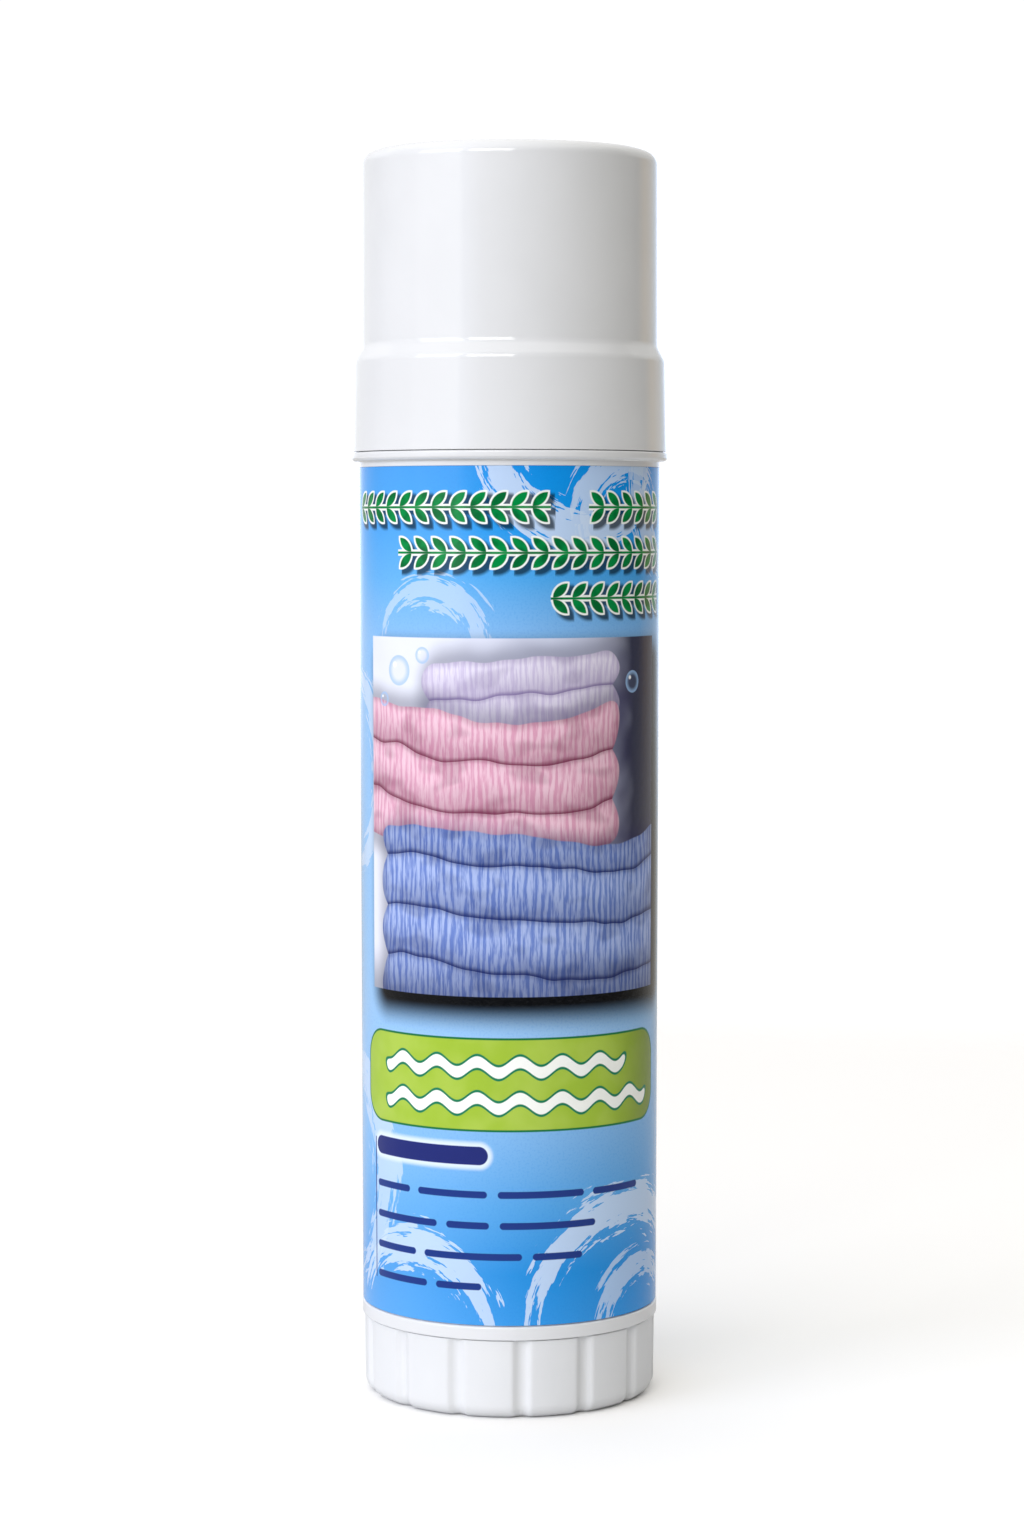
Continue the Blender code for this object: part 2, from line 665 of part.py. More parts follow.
def make_spindle(parts, cutters, material):
    """The lead screw: journal and flange, joined to the threaded rod and the splined foot."""
    profile = [
        (0, JOURNAL_TOP),
        (JOURNAL_RADIUS, JOURNAL_TOP),
        (JOURNAL_RADIUS, SPINDLE_FLANGE_TOP),
        (SPINDLE_FLANGE_RADIUS, SPINDLE_FLANGE_TOP),
        (SPINDLE_FLANGE_RADIUS, SPINDLE_FLANGE_FOOT),
        (0, SPINDLE_FLANGE_FOOT),
    ]
    spindle = turned("spindle", profile, INNER_STEPS, parts, material)
    journal_middle = (SPINDLE_FLANGE_TOP + JOURNAL_TOP) / 2
    flange_middle = (SPINDLE_FLANGE_FOOT + SPINDLE_FLANGE_TOP) / 2
    screw = threaded_rod("screw", journal_middle, SPINDLE_TOP, 0, cutters)
    foot = splined_bar("splined_foot", 0, SPINDLE_FOOT, flange_middle, cutters)
    combine(spindle, [screw, foot], "UNION")
    return spindle


def make_spindle_seal(parts, material):
    inner = JOURNAL_RADIUS + SEAT_GAP
    outer = SPINDLE_FLANGE_RADIUS - WASHER_INSET
    profile = [
        (inner, WASHER_TOP),
        (outer, WASHER_TOP),
        (outer, WASHER_FOOT),
        (inner, WASHER_FOOT),
    ]
    return turned("spindle_seal", profile, INNER_STEPS, parts, material)


def make_carrier(parts, cutters, material):
    """The lifting cup: nut, ribs under its plate, grip ribs in the cup and guide notches."""
    collar_edge = NUT_RADIUS - NUT_COLLAR_CHAMFER
    profile = [
        (0, NUT_TOP),
        (collar_edge, NUT_TOP),
        (NUT_RADIUS, NUT_TOP - NUT_COLLAR_CHAMFER),
        (NUT_RADIUS, PLATE_TOP),
        (CUP_RADIUS, PLATE_TOP),
        (CUP_RADIUS, CUP_TOP),
        (CARRIER_RADIUS, CUP_TOP),
        (CARRIER_RADIUS, CARRIER_FOOT),
        (CUP_RADIUS, CARRIER_FOOT),
        (CUP_RADIUS, PLATE_FOOT),
        (NUT_RADIUS, PLATE_FOOT),
        (NUT_RADIUS, CARRIER_FOOT),
        (0, CARRIER_FOOT),
    ]
    carrier = turned("carrier", profile, INNER_STEPS, parts, material)
    joined = []
    inner, outer = NUT_RADIUS - OVERRUN, CUP_RADIUS + OVERRUN
    foot, top = CARRIER_FOOT + CARRIER_RIB_RISE, PLATE_FOOT + CARRIER_PLATE / 2
    for rib in range(CARRIER_RIB_COUNT):
        joined.append(
            box(
                f"carrier_rib_{rib}",
                (outer - inner, CARRIER_RIB_THICKNESS, top - foot),
                ((inner + outer) / 2, 0, (foot + top) / 2),
                TURN * rib / CARRIER_RIB_COUNT,
                cutters,
            )
        )
    grip_depth = GRIP_RIB_HEIGHT + OVERRUN
    grip_foot, grip_top = PLATE_TOP - CARRIER_PLATE / 2, CUP_TOP - GRIP_RIB_HEIGHT
    for rib in range(GRIP_RIB_COUNT):
        joined.append(
            box(
                f"grip_rib_{rib}",
                (grip_depth, GRIP_RIB_WIDTH, grip_top - grip_foot),
                (CUP_RADIUS + OVERRUN - grip_depth / 2, 0, (grip_foot + grip_top) / 2),
                TURN * rib / GRIP_RIB_COUNT,
                cutters,
            )
        )
    combine(carrier, joined, "UNION")
    notches = []
    notch_floor = BORE_RADIUS - GUIDE_RIB_HEIGHT - SLIDE_GAP
    notch_depth = CARRIER_RADIUS + OVERRUN - notch_floor
    for rib in range(GUIDE_RIB_COUNT):
        notches.append(
            box(
                f"guide_notch_{rib}",
                (
                    notch_depth,
                    GUIDE_RIB_WIDTH + 2 * SLIDE_GAP,
                    CUP_TOP - CARRIER_FOOT + 2 * OVERRUN,
                ),
                (notch_floor + notch_depth / 2, 0, (CARRIER_FOOT + CUP_TOP) / 2),
                guide_rib_angle(rib),
                cutters,
            )
        )
    bore = threaded_rod(
        "nut_bore", CARRIER_FOOT - OVERRUN, NUT_TOP + OVERRUN, THREAD_GAP, cutters
    )
    combine(carrier, [*notches, bore], "DIFFERENCE")
    return carrier


def main():
    clear_scene()
    parts = new_collection(OBJECT_NAME)
    cutters = new_collection("cutters")
    white = plastic("white_plastic", (0.86, 0.87, 0.88), 0.3)
    film = plastic("label_film", (0.03, 0.28, 0.8), 0.35)
    inner_white = plastic("inner_plastic", (0.8, 0.81, 0.82), 0.45)
    liner = plastic("liner_foam", (0.85, 0.85, 0.83), 0.9)
    rubber = plastic("washer_rubber", (0.12, 0.12, 0.13), 0.7)
    soap = plastic("stick_cake", (0.86, 0.88, 0.82), 0.6)
    pieces = [
        make_barrel(parts, cutters, white),
        make_label(parts, film),
        make_dial(parts, cutters, white),
        make_spindle(parts, cutters, inner_white),
        make_spindle_seal(parts, rubber),
        make_carrier(parts, cutters, inner_white),
        make_stick(parts, soap),
        make_cap(parts, cutters, white),
        make_cap_seal(parts, liner),
    ]
    for piece in pieces:
        shade_round(piece)


main()
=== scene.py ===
"""Twist-up stain remover stick, standing in a plain white studio.

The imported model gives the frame: every piece below is made in its place and rides on its body.
The pieces' lengths are written in millimetres, as on a mould drawing, and scaled by MM where a
mesh is made. The studio's are in metres.
"""

import math

import bmesh
import bpy
from mathutils import Matrix, Vector, noise


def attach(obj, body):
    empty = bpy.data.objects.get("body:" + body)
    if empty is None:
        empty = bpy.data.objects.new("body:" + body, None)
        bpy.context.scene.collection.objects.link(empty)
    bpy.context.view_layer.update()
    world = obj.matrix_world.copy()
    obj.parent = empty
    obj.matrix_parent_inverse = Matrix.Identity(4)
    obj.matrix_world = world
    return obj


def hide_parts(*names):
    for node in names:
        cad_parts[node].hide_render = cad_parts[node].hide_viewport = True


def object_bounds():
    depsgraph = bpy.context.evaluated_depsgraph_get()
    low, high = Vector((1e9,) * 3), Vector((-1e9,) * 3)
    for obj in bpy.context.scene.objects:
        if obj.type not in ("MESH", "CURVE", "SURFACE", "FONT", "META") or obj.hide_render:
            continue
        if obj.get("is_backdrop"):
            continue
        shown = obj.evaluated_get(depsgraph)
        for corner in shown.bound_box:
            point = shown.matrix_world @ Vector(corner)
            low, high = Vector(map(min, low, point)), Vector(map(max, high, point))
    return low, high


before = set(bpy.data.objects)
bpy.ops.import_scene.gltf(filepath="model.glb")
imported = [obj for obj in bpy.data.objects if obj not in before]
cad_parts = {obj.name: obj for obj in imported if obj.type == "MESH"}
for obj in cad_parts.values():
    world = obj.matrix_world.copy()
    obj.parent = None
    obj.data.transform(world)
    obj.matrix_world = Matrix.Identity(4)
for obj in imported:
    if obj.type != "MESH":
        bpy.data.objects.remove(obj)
cad_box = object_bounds()

# ---- Barrel ----
# One injection moulding in glossy white polypropylene: neck with a snap bead, sloped collar,
# recessed panel for the label, lower ring, and the spigot and bulkhead hidden in the dial.
# Four ribs down the bore keep the lifting cup from turning.

MM = 0.001
SEGMENTS = 168
ARC_STEP = math.radians(15)
CREASE = math.radians(32)
ON_FACE = 0.01
BORE = 13.5
NECK_RADIUS, NECK_ROOT_RADIUS, NECK_BEAD_RADIUS = 14.4, 14.85, 15.1
NECK_ROOT_TOP, NECK_BEAD_LEVEL, NECK_BEAD_HALF = 107.5, 103.5, 0.6
MOUTH = 127.1
COLLAR_RADIUS = 16.5
COLLAR_BOTTOM, COLLAR_RIM_FOOT, COLLAR_RIM_TOP, COLLAR_TOP = 98.04, 98.28, 98.9, 99.0
STRIP_RADIUS = 15.71
PANEL_FOOT_RADIUS, PANEL_TOP_RADIUS = 15.3, 15.47
LABEL_BOTTOM, LABEL_TOP = 9.84, 97.36
STRIP_FOOT = LABEL_TOP + 0.02
RING_RADIUS = 15.6
RING_BOTTOM, RING_TOP = 8.28, 9.72
SPIGOT_RADIUS, SPIGOT_BEAD_RADIUS, SPIGOT_BORE = 13.3, 13.75, 12.3
SPIGOT_FOOT, SPIGOT_BEAD_FOOT, SPIGOT_BEAD_TOP = 3.1, 3.4, 4.2
BULKHEAD_FOOT, BULKHEAD_TOP = 11.1, 12.6
BEARING_RADIUS = 4.5
GUIDE_RIB, GUIDE_RIB_HALF_WIDTH, GUIDE_RIB_TOP = 0.6, 0.75, 121.7


def rounded(corners):
    """A closed outline of (radius, level, fillet) corners, each fillet drawn as a short arc."""
    outline = []
    for number, (radius, level, fillet) in enumerate(corners):
        here = Vector((radius, level))
        before = Vector(corners[number - 1][:2]) - here
        after = Vector(corners[(number + 1) % len(corners)][:2]) - here
        if not fillet or radius == 0:
            outline.append((radius, level))
            continue
        half = before.angle(after) / 2
        middle = here + (before.normalized() + after.normalized()).normalized() * (
            fillet / math.sin(half)
        )
        start = here + before.normalized() * (fillet / math.tan(half)) - middle
        swing = math.pi - 2 * half
        if start.y * before.x - start.x * before.y < 0:
            swing = -swing
        steps = max(2, math.ceil(abs(swing) / ARC_STEP))
        for step in range(steps + 1):
            turn = Matrix.Rotation(swing * step / steps, 2)
            outline.append(tuple(middle + turn @ start))
    return outline


def turned(name, outline, segments=SEGMENTS, shape=None):
    """Turns a closed outline about Z, starting at the back. shape may move a ring's points."""
    bm = bmesh.new()
    poles = {
        place: bm.verts.new((0, 0, level * MM))
        for place, (radius, level) in enumerate(outline)
        if radius == 0
    }
    columns = []
    for segment in range(segments):
        angle = math.pi / 2 + math.tau * segment / segments
        column = []
        for place, (radius, level) in enumerate(outline):
            if place in poles:
                column.append(poles[place])
                continue
            if shape:
                radius, level = shape(radius, level, angle)
            across, along = radius * math.cos(angle), radius * math.sin(angle)
            column.append(bm.verts.new((across * MM, along * MM, level * MM)))
        columns.append(column)
    for column, following in zip(columns, columns[1:] + columns[:1]):
        for a in range(len(outline)):
            b = (a + 1) % len(outline)
            corners = dict.fromkeys((column[a], column[b], following[b], following[a]))
            if len(corners) > 2:
                bm.faces.new(corners)
    return finished_mesh(name, bm)


def finished_mesh(name, bm):
    """Closes a mesh as an object: faces outwards, smooth, with its hard edges kept crisp."""
    bmesh.ops.recalc_face_normals(bm, faces=bm.faces)
    mesh = bpy.data.meshes.new(name)
    bm.to_mesh(mesh)
    bm.free()
    mesh.shade_smooth()
    mesh.set_sharp_from_angle(angle=CREASE)
    piece = bpy.data.objects.new(name, mesh)
    bpy.context.scene.collection.objects.link(piece)
    crisp = piece.modifiers.new("crisp_shading", "WEIGHTED_NORMAL")
    crisp.keep_sharp = True
    return piece


def rgb(red, green, blue):
    """A colour read as 0 to 255 on screen, as the shader wants it."""
    parts = [value / 255 for value in (red, green, blue)]
    linear = [p / 12.92 if p < 0.04045 else ((p + 0.055) / 1.055) ** 2.4 for p in parts]
    return (*linear, 1)


def plug(socket, value):
    """Links a node's output to a socket, or sets a plain value on it."""
    if isinstance(value, bpy.types.NodeSocket):
        socket.id_data.links.new(value, socket)
    else:
        socket.default_value = value


def add_node(tree, kind, settings=None, **inputs):
    """A shader node with its settings, and its inputs linked or set by their names."""
    added = tree.nodes.new("ShaderNode" + kind)
    for name, value in (settings or {}).items():
        setattr(added, name, value)
    for name, value in inputs.items():
        plug(added.inputs[name.replace("_", " ")], value)
    return added


def maths(tree, operation, *values):
    """One sum of the shader's arithmetic, on sockets or plain numbers."""
    step = add_node(tree, "Math", {"operation": operation})
    for socket, value in zip(step.inputs, values):
        plug(socket, value)
    return step.outputs[0]


def faded(tree, value, low, high, start=0, end=1):
    """Runs from start to end while the value goes from low to high, with soft ends."""
    fade = add_node(tree, "MapRange", {"interpolation_type": "SMOOTHSTEP"})
    for socket, given in zip(fade.inputs, (value, low, high, start, end)):
        plug(socket, given)
    return fade.outputs[0]


def grain(tree, place, scale, detail=2, roughness=0.5):
    """Fine unevenness all through a piece, from 0 to 1 about a middle of one half."""
    texture = add_node(
        tree, "TexNoise", Vector=place, Scale=scale, Detail=detail, Roughness=roughness
    )
    return texture.outputs["Fac"]


PLASTIC_IOR = 1.49
CLOUD_SCALE, RUB_SCALE = 90, 260


def moulded_plastic(name, colour, tint, gloss, gloss_spread, skin, skin_depth):
    """Moulded plastic: a clouded colour, uneven polish, and the faint skin of the mould."""
    material = bpy.data.materials.new(name)
    material.use_nodes = True
    tree = material.node_tree
    shader = tree.nodes["Principled BSDF"]
    place = add_node(tree, "TexCoord").outputs["Object"]
    cloud = grain(tree, place, CLOUD_SCALE, detail=3)
    shades = add_node(tree, "Mix", {"data_type": "RGBA"})
    plug(shades.inputs[0], faded(tree, cloud, 0.3, 0.7))
    plug(shades.inputs[6], colour)
    plug(shades.inputs[7], tint)
    plug(shader.inputs["Base Color"], shades.outputs[2])
    rubbed = grain(tree, place, RUB_SCALE, detail=5, roughness=0.65)
    low, high = gloss - gloss_spread, gloss + gloss_spread
    plug(shader.inputs["Roughness"], faded(tree, rubbed, 0.3, 0.7, low, high))
    mould_skin = grain(tree, place, skin, detail=2)
    relief = add_node(tree, "Bump", Height=mould_skin, Strength=0.6, Distance=skin_depth)
    plug(shader.inputs["Normal"], relief.outputs["Normal"])
    shader.inputs["IOR"].default_value = PLASTIC_IOR
    return material


def barrel_shape(radius, level, angle):
    """Raises the four guide ribs out of the bore."""
    in_bore = abs(radius - BORE) < ON_FACE and BULKHEAD_TOP < level < GUIDE_RIB_TOP + ON_FACE
    quarter = math.pi / 2
    off_rib = abs(angle % quarter - quarter / 2)
    if in_bore and off_rib * BORE < GUIDE_RIB_HALF_WIDTH:
        radius -= GUIDE_RIB
    return radius, level


barrel = turned(
    "barrel_shell",
    rounded(
        [
            (BORE, MOUTH, 0.2),
            (NECK_RADIUS, MOUTH, 0.4),
            (NECK_RADIUS, NECK_ROOT_TOP + 0.45, 0.4),
            (NECK_ROOT_RADIUS, NECK_ROOT_TOP, 0.2),
            (NECK_ROOT_RADIUS, NECK_BEAD_LEVEL + NECK_BEAD_HALF, 0.2),
            (NECK_BEAD_RADIUS, NECK_BEAD_LEVEL, 0.4),
            (NECK_ROOT_RADIUS, NECK_BEAD_LEVEL - NECK_BEAD_HALF, 0.2),
            (NECK_ROOT_RADIUS, COLLAR_TOP, 0.2),
            (COLLAR_RADIUS - 1, COLLAR_TOP, 0.6),
            (COLLAR_RADIUS, COLLAR_RIM_TOP, 0.2),
            (COLLAR_RADIUS, COLLAR_RIM_FOOT, 0.22),
            (COLLAR_RADIUS - 0.24, COLLAR_BOTTOM, 0.15),
            (STRIP_RADIUS, COLLAR_BOTTOM, 0.15),
            (STRIP_RADIUS, STRIP_FOOT, 0.03),
            (PANEL_TOP_RADIUS, STRIP_FOOT, 0),
            (PANEL_FOOT_RADIUS, LABEL_BOTTOM, 0.1),
            (PANEL_FOOT_RADIUS, RING_TOP, 0.06),
            (RING_RADIUS, RING_TOP, 0.28),
            (RING_RADIUS, RING_BOTTOM, 0.12),
            (SPIGOT_RADIUS, RING_BOTTOM, 0.15),
            (SPIGOT_RADIUS, SPIGOT_BEAD_TOP, 0.1),
            (SPIGOT_BEAD_RADIUS, SPIGOT_BEAD_TOP, 0.15),
            (SPIGOT_BEAD_RADIUS, SPIGOT_BEAD_FOOT, 0.15),
            (SPIGOT_RADIUS, SPIGOT_FOOT, 0.1),
            (SPIGOT_BORE, SPIGOT_FOOT, 0.15),
            (SPIGOT_BORE, BULKHEAD_FOOT, 0.3),
            (BEARING_RADIUS, BULKHEAD_FOOT, 0.2),
            (BEARING_RADIUS, BULKHEAD_TOP, 0.2),
            (BORE, BULKHEAD_TOP, 0),
            (BORE, BULKHEAD_TOP + 0.02, 0),
            (BORE, GUIDE_RIB_TOP, 0),
            (BORE, GUIDE_RIB_TOP + 0.1, 0),
        ]
    ),
    shape=barrel_shape,
)
barrel_white = moulded_plastic(
    "glossy_white_tube",
    colour=rgb(228, 229, 231),
    tint=rgb(224, 225, 226),
    gloss=0.2,
    gloss_spread=0.05,
    skin=900,
    skin_depth=0.000012,
)
barrel.data.materials.append(barrel_white)
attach(barrel, "barrel")
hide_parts("barrel")

# ---- Label ----
# A printed film wrapped round the panel, its end lapped over its start at the back left.
# The print is in inks over an azure ground: brushed swirls, green garlands, a picture of
# folded cloths, a lime banner and navy ruled lines. Painted light pales the ground's left side,
# and painted shade darkens the right ends of the picture and the banner. One shader draws it
# all from the film's own map.

FILM = 0.15
FILM_LIFT = 0.1
SEAM_ANGLE = math.radians(124.6)
FRONT_ANGLE = math.radians(270)
LAP_LENGTH = 3.5
FILM_STEPS = 168
LAP_STEPS = 6
CLIMB_STEPS = 4


def film_column(bm, angle, climb):
    """Points of the film at one angle: its outer foot and top, then its inner foot and top."""
    column = []
    for rise in (FILM, 0):
        for radius, level in (
            (PANEL_FOOT_RADIUS, LABEL_BOTTOM),
            (PANEL_TOP_RADIUS, LABEL_TOP),
        ):
            reach = (radius + FILM_LIFT + climb + rise) * MM
            column.append(
                bm.verts.new((reach * math.cos(angle), reach * math.sin(angle), level * MM))
            )
    return column


label_mesh = bmesh.new()
print_map = label_mesh.loops.layers.uv.new("print_mm")
sheet_map = label_mesh.loops.layers.uv.new("OFBake")
middle_radius = (PANEL_FOOT_RADIUS + PANEL_TOP_RADIUS) / 2 + FILM_LIFT + FILM
lap_angle = LAP_LENGTH / middle_radius
film_angles = [math.tau * step / FILM_STEPS for step in range(FILM_STEPS + 1)]
film_angles += [math.tau + lap_angle * (step + 1) / LAP_STEPS for step in range(LAP_STEPS)]
film_columns = []
for step, angle in enumerate(film_angles):
    climbed = min(max((step - FILM_STEPS + CLIMB_STEPS) / CLIMB_STEPS, 0), 1)
    climb = (FILM + FILM_LIFT) * climbed * climbed * (3 - 2 * climbed)
    film_columns.append(film_column(label_mesh, SEAM_ANGLE + angle, climb))
film_end = film_angles[-1]
SHEET_ROWS = {"outer": (0.08, 1), "inner": (0, 0.04), "edge": (0.045, 0.075)}


def film_face(columns, steps, corners, row):
    """A face of the film, with its place on the print and on the flat sheet that is baked."""
    face = label_mesh.faces.new([columns[side][corner] for side, corner in corners])
    low, high = SHEET_ROWS[row]
    for loop, (side, corner) in zip(face.loops, corners):
        angle = film_angles[steps[side]]
        round_front = SEAM_ANGLE + angle - FRONT_ANGLE
        level = LABEL_TOP if corner % 2 else LABEL_BOTTOM
        loop[print_map].uv = (round_front * middle_radius, level)
        share = corner % 2 if row != "edge" else corner // 2
        loop[sheet_map].uv = (angle / film_end, low + (high - low) * share)


for step in range(len(film_angles) - 1):
    columns = film_columns[step : step + 2]
    steps = (step, step + 1)
    film_face(columns, steps, ((0, 0), (1, 0), (1, 1), (0, 1)), "outer")
    film_face(columns, steps, ((1, 2), (0, 2), (0, 3), (1, 3)), "inner")
    film_face(columns, steps, ((0, 2), (1, 2), (1, 0), (0, 0)), "edge")
    film_face(columns, steps, ((1, 3), (0, 3), (0, 1), (1, 1)), "edge")
last = len(film_angles) - 1
film_face((film_columns[0],), (0,), ((0, 2), (0, 0), (0, 1), (0, 3)), "edge")
film_face((film_columns[last],), (last,), ((0, 0), (0, 2), (0, 3), (0, 1)), "edge")
label = finished_mesh("label_film", label_mesh)

film_print = bpy.data.materials.new("printed_film")
film_print.use_nodes = True
inks = film_print.node_tree
spot = add_node(inks, "UVMap", {"uv_map": "print_mm"}).outputs["UV"]
split = add_node(inks, "SeparateXYZ", Vector=spot)
across, up = split.outputs["X"], split.outputs["Y"]


def vector(operation, *values):
    """One sum on places of the print, or the length of one."""
    step = add_node(inks, "VectorMath", {"operation": operation})
    for socket, value in zip(step.inputs, values):
        plug(socket, value)
    return step.outputs["Value" if operation == "LENGTH" else "Vector"]


def point(x, y):
    """A place on the print, from its distance round and its height."""
    return add_node(inks, "CombineXYZ", X=x, Y=y).outputs["Vector"]


def shifted(place, right, upwards):
    """The place as it lies from a motif's own middle."""
    return vector("SUBTRACT", place, (right, upwards, 0))


def rounded_box(place, middle, half_size, corner):
    """Distance outside a box with rounded corners."""
    from_middle = vector("ABSOLUTE", shifted(place, *middle))
    past = vector("SUBTRACT", from_middle, (half_size[0] - corner, half_size[1] - corner, 0))
    outside = vector("LENGTH", vector("MAXIMUM", past, (0, 0, 0)))
    return maths(inks, "SUBTRACT", outside, corner)


def within(distance, edge=0.0, blur=0.05):
    """1 inside a distance and 0 outside it, with a printed edge."""
    return faded(inks, distance, edge - blur, edge + blur, 1, 0)


def printed(under, mask, colour):
    """Lays an ink over the print where the mask is 1."""
    layer = add_node(inks, "Mix", {"data_type": "RGBA"})
    plug(layer.inputs[0], mask)
    plug(layer.inputs[6], under)
    plug(layer.inputs[7], colour)
    return layer.outputs[2]


def both(*masks):
    """1 only where every mask is 1."""
    result = masks[0]
    for mask in masks[1:]:
        result = maths(inks, "MULTIPLY", result, mask)
    return result


def noisy(place, scale, detail=2, roughness=0.5):
    """Flat unevenness of the print, from 0 to 1 about a middle of one half."""
    texture = add_node(
        inks,
        "TexNoise",
        {"noise_dimensions": "2D"},
        Vector=place,
        Scale=scale,
        Detail=detail,
        Roughness=roughness,
    )
    return texture.outputs["Fac"]


# The azure ground, paler in the middle, with the faint mottle of a coarse print; its left side
# is made paler still with painted light, where the window lights the film
MOTTLE_INK, PAINTED_LIGHT_AZURE = rgb(10, 120, 214), rgb(152, 202, 248)
LABEL_HEIGHT = LABEL_TOP - LABEL_BOTTOM
height_share = maths(inks, "DIVIDE", maths(inks, "SUBTRACT", up, LABEL_BOTTOM), LABEL_HEIGHT)
ground = add_node(inks, "ValToRGB", Fac=height_share)
ramp = ground.color_ramp
ramp.elements[0].position, ramp.elements[0].color = 0, rgb(46, 150, 228)
ramp.elements[1].position, ramp.elements[1].color = 1, rgb(14, 146, 232)
for position, colour in (
    (0.06, rgb(22, 141, 219)),
    (0.14, rgb(82, 163, 227)),
    (0.22, rgb(126, 182, 233)),
    (0.36, rgb(152, 195, 236)),
    (0.62, rgb(146, 194, 240)),
    (0.8, rgb(134, 186, 236)),
    (0.87, rgb(78, 168, 235)),
    (0.93, rgb(18, 150, 233)),
):
    ramp.elements.new(position).color = colour
mottle = faded(inks, noisy(spot, 4.5, detail=1), 0.45, 0.8, 0, 0.16)
artwork = printed(ground.outputs["Color"], mottle, MOTTLE_INK)
# Painted light: the ground is paled towards the left, the side the window lights
painted_light_left = faded(inks, across, -14, 5, 0.24, 0)
artwork = printed(artwork, painted_light_left, PAINTED_LIGHT_AZURE)

# Brushed swirls: arcs of pale ink that taper, with the streaks of the brush along them
PALE = rgb(203, 222, 246)
STREAK_RUN, STREAK_SPACING, RAGGEDNESS = 0.22, 1.5, 6.5
TAIL_CUT = 0.15
for middle, ring, half_width, widest, strength in (
    ((-11.0, 8.5), 9.0, 2.3, 80, 0.8),
    ((-27.0, 24.0), 12.0, 2.6, 20, 0.7),
    ((14.5, 9.0), 12.5, 2.4, 95, 0.85),
    ((17.0, 8.0), 7.0, 1.6, 110, 0.7),
    ((8.5, 101.0), 10.5, 2.6, 240, 0.85),
    ((14.0, 91.5), 6.2, 1.7, 130, 0.8),
    ((24.5, 96.0), 9.0, 2.2, 215, 0.75),
    ((-9.0, 79.0), 6.0, 1.8, 70, 0.6),
    ((-25.0, 66.0), 10.0, 3.0, 5, 0.75),
    ((-42.0, 90.0), 11.0, 2.6, 250, 0.85),
    ((38.0, 34.0), 14.0, 3.2, 60, 0.85),
    ((42.0, 36.0), 8.0, 2.0, 250, 0.75),
    ((35.0, 74.0), 10.0, 2.8, 160, 0.8),
    ((50.0, 82.0), 13.0, 2.8, 300, 0.8),
    ((-40.0, 50.0), 9.0, 2.4, 120, 0.8),
    ((-36.0, 20.0), 8.0, 2.0, 200, 0.75),
):
    off = add_node(inks, "SeparateXYZ", Vector=shifted(spot, *middle))
    reach = vector("LENGTH", shifted(spot, *middle))
    swing = maths(inks, "ARCTAN2", off.outputs["Y"], off.outputs["X"])
    from_widest = maths(inks, "COSINE", maths(inks, "SUBTRACT", swing, math.radians(widest)))
    run = maths(inks, "MULTIPLY", swing, STREAK_RUN * ring)
    stroke = point(run, maths(inks, "MULTIPLY", reach, STREAK_SPACING))
    bristles = maths(inks, "SUBTRACT", noisy(stroke, 1.0, detail=3, roughness=0.65), 0.5)
    width = maths(inks, "MULTIPLY_ADD", from_widest, half_width, -TAIL_CUT * half_width)
    off_ring = maths(inks, "ABSOLUTE", maths(inks, "SUBTRACT", reach, ring))
    edge = maths(inks, "MULTIPLY_ADD", bristles, RAGGEDNESS, off_ring)
    swirl = faded(inks, maths(inks, "SUBTRACT", edge, width), -0.1, 0.1, strength, 0)
    artwork = printed(artwork, swirl, PALE)

# Garlands: green leaves on a stem, outlined in white, with a dark shadow behind
LEAF_PITCH = 2.1
LEAF_MIDDLE, LEAF_TURN = (1.02, 0.8), math.radians(-42)
BLADE_BOW, BLADE_RADIUS = 1.0, 1.46
STEM_HALF_WIDTH = 0.12
DEEP_GREEN, FRESH_GREEN = rgb(0, 104, 50), rgb(0, 138, 66)
LEAF_SHADOW, LEAF_OUTLINE = rgb(8, 22, 26), rgb(246, 250, 246)
OUTLINE_WIDTH, SHADOW_SHIFT = 0.2, 0.45


def garland(place, level, leftwards):
    """Distance to a stem with a pair of leaves in each pitch."""
    parts = add_node(inks, "SeparateXYZ", Vector=place)
    run = maths(inks, "MULTIPLY", parts.outputs["X"], -1) if leftwards else parts.outputs["X"]
    cell = maths(inks, "FRACT", maths(inks, "DIVIDE", run, LEAF_PITCH))
    cell = maths(inks, "MULTIPLY", cell, LEAF_PITCH)
    above = maths(inks, "ABSOLUTE", maths(inks, "SUBTRACT", parts.outputs["Y"], level))
    leaf = add_node(
        inks,
        "VectorRotate",
        {"rotation_type": "Z_AXIS"},
        Vector=shifted(point(cell, above), *LEAF_MIDDLE),
        Angle=LEAF_TURN,
    ).outputs["Vector"]
    leaf_sides = add_node(inks, "SeparateXYZ", Vector=leaf)
    half_width = maths(inks, "ABSOLUTE", leaf_sides.outputs["Y"])
    half_width = maths(inks, "ADD", half_width, BLADE_BOW)
    blade = vector("LENGTH", point(leaf_sides.outputs["X"], half_width))
    blade = maths(inks, "SUBTRACT", blade, BLADE_RADIUS)
    stem = maths(inks, "SUBTRACT", above, STEM_HALF_WIDTH)
    return maths(inks, "MINIMUM", blade, stem)


